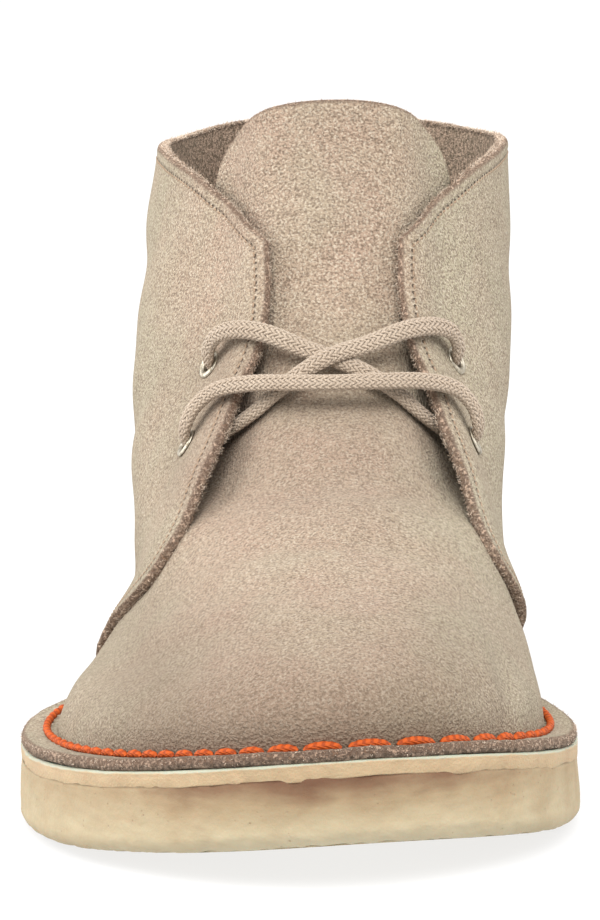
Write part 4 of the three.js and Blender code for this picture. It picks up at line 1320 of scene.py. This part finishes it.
def add_seam_stitches(border, outer, normals, finish):
    """Short sunken stitches between the needle holes, along the raw edge."""
    surface, surface_normals = outer.reshape(-1, 3), normals.reshape(-1, 3)
    inward = path_frame(border, surface, surface_normals)[1]
    runs = runs_along(border)
    t = np.linspace(-1, 1, 7)
    at = np.arange(1, int(runs[-1] / SEAM_PITCH))[:, None] * SEAM_PITCH + t * SEAM_PITCH * 0.42
    centres = picked(at, runs, border) + picked(at, runs, inward) * SEAM_INSET
    flat, ups = settled(centres.reshape(-1, 3), surface, surface_normals)
    ups = ups.reshape(centres.shape)
    centres = flat.reshape(centres.shape) - ups * (0.12 + 0.3 * t ** 4)[:, None]
    flats = unit(np.cross(ups, unit(np.gradient(centres, axis=1))))
    size = (SEAM_THREAD * (1 - 0.6 * t ** 4))[:, None]
    add_piece("seam_stitches", *swept(centres, flats, ups, size, size, 6), finish, "suede")


def add_welt_stitches(finish):
    """The orange row in the corner of flange and wall: fat two-ply stitches, longest at the toe."""
    side, turn = ring_sides(3000)
    inset = FLANGE_MARGIN + FLANGE - 1.1
    shift = np.where(turn < edge_turn(QUARTER_EDGE, 0.0), quarter_lift(turn, 0 * turn), 0)
    straight = inset_outline(side, turn, inset)
    top = last_bottom(straight[:, 1], straight[:, 0]) + SUEDE + 0.25 + shift
    ring = put(raised(inset_outline(side, turn, inset - shift * 0.6), lambda s, x: top))
    ring = np.concatenate([ring, ring[:1]])
    runs = runs_along(ring)
    starts = [0.0]
    while starts[-1] < runs[-1] - 4:
        x, y, _ = picked(starts[-1], runs, ring)
        longer = STITCH_GROWTH * math.exp(-((x - STITCH_PEAK) / STITCH_PEAK) ** 2)
        starts.append(starts[-1] + STITCH_LENGTH + ease(60, 130, -y) * longer)
    starts = np.array(starts) * runs[-1] / starts[-1]
    t = np.linspace(0, 1, 13)
    lengths = np.diff(starts)
    from_start = lengths[:, None] * (0.08 + 0.84 * t)
    at = starts[:-1, None] + from_start
    arch = np.sin(math.pi * t) ** 0.5
    centres = picked(at, runs, ring)
    centres[..., 2] += STITCH_ARCH * arch - STITCH_SINK
    ways = unit(np.gradient(centres, axis=1))
    flats = unit(np.cross([0.0, 0, 1], ways))
    sides = 12
    angle = ring_angles(sides)
    lobes = 1 + 0.07 * np.cos(2 * (angle - from_start[..., None] * 2 * math.pi / 3.0))
    stoutness = 0.8 + 0.2 * ease(5, 8, lengths)
    radius = THREAD_RADIUS * stoutness[:, None, None] * (0.4 + 0.6 * arch)[:, None] * lobes
    points, faces = swept(centres, flats, np.cross(ways, flats), radius, radius, sides)
    run = np.concatenate([(at[..., None] + angle * 0.24).ravel(), at[:, 0], at[:, -1]])
    add_piece("welt_stitches", points, faces, finish, "suede", (), {"run": run})


def add_eyelets(finish):
    """Rolled rings through the facings: a closed profile turned about each eyelet's axis."""
    segments = 40
    under, over = -0.1, SUEDE + 0.05
    middle, half = (EYELET_RIM + EYELET_HOLE) / 2, (EYELET_RIM - EYELET_HOLE) / 2
    t = np.linspace(0, math.pi, 9)
    outside = [(middle + half * math.cos(a), over + ROLL_OVER * math.sin(a)) for a in t]
    inside = [(middle - half * math.cos(a), under - ROLL_UNDER * math.sin(a)) for a in t]
    profile = np.array([(EYELET_BARREL, under), (EYELET_BARREL, over), *outside, *inside[:-1]])
    angle = 2 * math.pi * np.arange(segments) / segments
    ids = np.arange(segments * len(profile)).reshape(segments, -1)
    faces = quads(looped(np.concatenate([ids, ids[:1]])))
    for name, centre, axis in eyelet_places():
        first = unit(np.cross(axis, [0.0, 0, 1]))
        spokes = np.cos(angle)[:, None] * first + np.sin(angle)[:, None] * np.cross(axis, first)
        points = centre + spokes[:, None] * profile[:, :1] + axis * profile[:, 1:]
        add_piece(f"{name}_ring", points, faces, finish, "eyelet_metal", [name])


def lace_route():
    """The lace's middle, its upper side and its fullness, point by point, from the outer upper eyelet to
    the inner one: a crossing, half the bar, the bar's middle, and the same again mirrored and backwards."""
    there = {k: np.concatenate([CROSSING[k], HALF_BAR[k]]) for k in CROSSING}
    first_hole = len(CROSSING["across"])
    higher = CROSSING_OVER * np.exp(-((there["across"] / 0.07) ** 2))
    higher[first_hole - 5:] = 0
    back = {**there, "across": -there["across"], "lift": there["lift"] + higher}
    route = {k: np.concatenate([there[k], BAR_MIDDLE[k], back[k][::-1]]) for k in there}
    middles, normals = off_last(route["across"], route["rise"] * INSTEP_RISE, route["lift"])
    middles, normals = put(middles), normals * MIRROR
    ups = normals.copy()
    last = len(middles) - 1
    for hole, way in ((0, 1), (first_hole, 1), (last - first_hole, -1), (last, -1)):
        outside = min(max(hole + way * 6, 0), last)
        away = unit(middles[hole + way] - middles[outside])
        for k in range(HOLE_POINTS):
            weight = 1 - k / HOLE_POINTS
            ups[hole + way * k] = unit(away * weight + normals[hole + way * k] * (1 - weight))
    return middles, ups, route["full"]


def add_lace(finish):
    """The lace: a flat round braid of real yarns over a core. A yarn winds round the lace's oval, one
    family each way, and rises over two of the other family and dips under the next two. Returns the
    lace's length."""
    middles, ups, full = lace_route()
    keys = runs_along(middles)
    run = np.linspace(0, keys[-1], int(keys[-1] / LACE_STEP))
    centre = np.stack([along(keys, middles[:, k], run) for k in range(3)], -1)
    size = np.interp(run, keys, full)
    way = unit(np.gradient(centre, axis=0))
    flat = unit(np.cross(picked(run, keys, ups), way))
    up = np.cross(way, flat)
    half_width = (LACE_WIDTH / 2 - YARN_INSET) * size
    half_height = (LACE_THICKNESS / 2 - YARN_INSET) * (0.35 + 0.65 * size)
    lead = math.pi * (LACE_WIDTH + LACE_THICKNESS) / 2 / math.tan(math.radians(BRAID_ANGLE))
    spots, radials = [], []
    for direction in (1, -1):
        for k in range(LACE_YARNS):
            angle = direction * 2 * math.pi * run / lead + 2 * math.pi * k / LACE_YARNS
            across, upwards = np.cos(angle)[:, None], np.sin(angle)[:, None]
            crossings = 2 * LACE_YARNS * run / lead
            weave = np.cos(math.pi / 2 * (2 * k + direction * crossings - 0.5)) * direction
            radial = unit(flat * across / half_width[:, None] + up * upwards / half_height[:, None])
            spot = centre + flat * half_width[:, None] * across + up * half_height[:, None] * upwards
            spots.append(spot + radial * (WEAVE_DEPTH * np.tanh(1.6 * weave))[:, None])
            radials.append(radial)
    spots, radials = np.stack(spots), np.stack(radials)
    flats = unit(np.cross(radials, unit(np.gradient(spots, axis=1))))
    points, faces = swept(spots, flats, radials, (YARN_WIDTH * (0.5 + 0.5 * size))[:, None], YARN_HEIGHT, YARN_SIDES)
    runs = np.broadcast_to(run[:, None], (len(spots), len(run), YARN_SIDES)).ravel()
    marks = {"run": np.concatenate([runs, np.zeros(2 * len(spots))])}
    add_piece("lace_braid", points, faces, finish, "cotton", ["lace"], marks)
    core = (half_width * 0.98)[:, None], (half_height * 0.95)[:, None]
    add_piece("lace_core", *swept(centre[None], flat[None], up[None], *core, 14), finish, "cotton", ["lace"])
    return keys[-1]


def add_fibres(vamp, quarters, border, finish):
    """Loose fibres on the raw edges that show: collar and facings, the tongue's top and the flange."""
    edges = (
        ("collar_fibres", quarters, border, 0.2 * SUEDE, 15000, 61, 1.0),
        ("tongue_fibres", vamp, evenly(vamp[0][-1], 0.6), 0.0, 3000, 62, 0.5),
        ("flange_fibres", vamp, evenly(vamp[0][0], 0.5), 0.0, 3000, 63, 0.6),
    )
    for name, (outer, normals), path, sunk, count, seed, length in edges:
        n, inward = path_frame(path, outer.reshape(-1, 3), normals.reshape(-1, 3))
        fibres(name, path - n * sunk, n, inward, count, seed, length, finish)


add_camera()
add_lights()
add_floor()
bpy.context.scene.view_settings.view_transform = "Standard"

suede = suede_finish()
loose = fibre_finish()
add_outsole(crepe_finish())
add_heel(crepe_finish("heel_crepe"))
add_midsole(midsole_finish())
add_insole(insole_finish())
vamp = add_vamp(suede)
*quarters, border = add_quarters(suede)
add_seam_stitches(border, *quarters, seam_thread_finish())
add_welt_stitches(thread_finish())
add_eyelets(metal_finish())
lace_length = add_lace(cotton_finish())
add_fibres(vamp, quarters, border, loose)
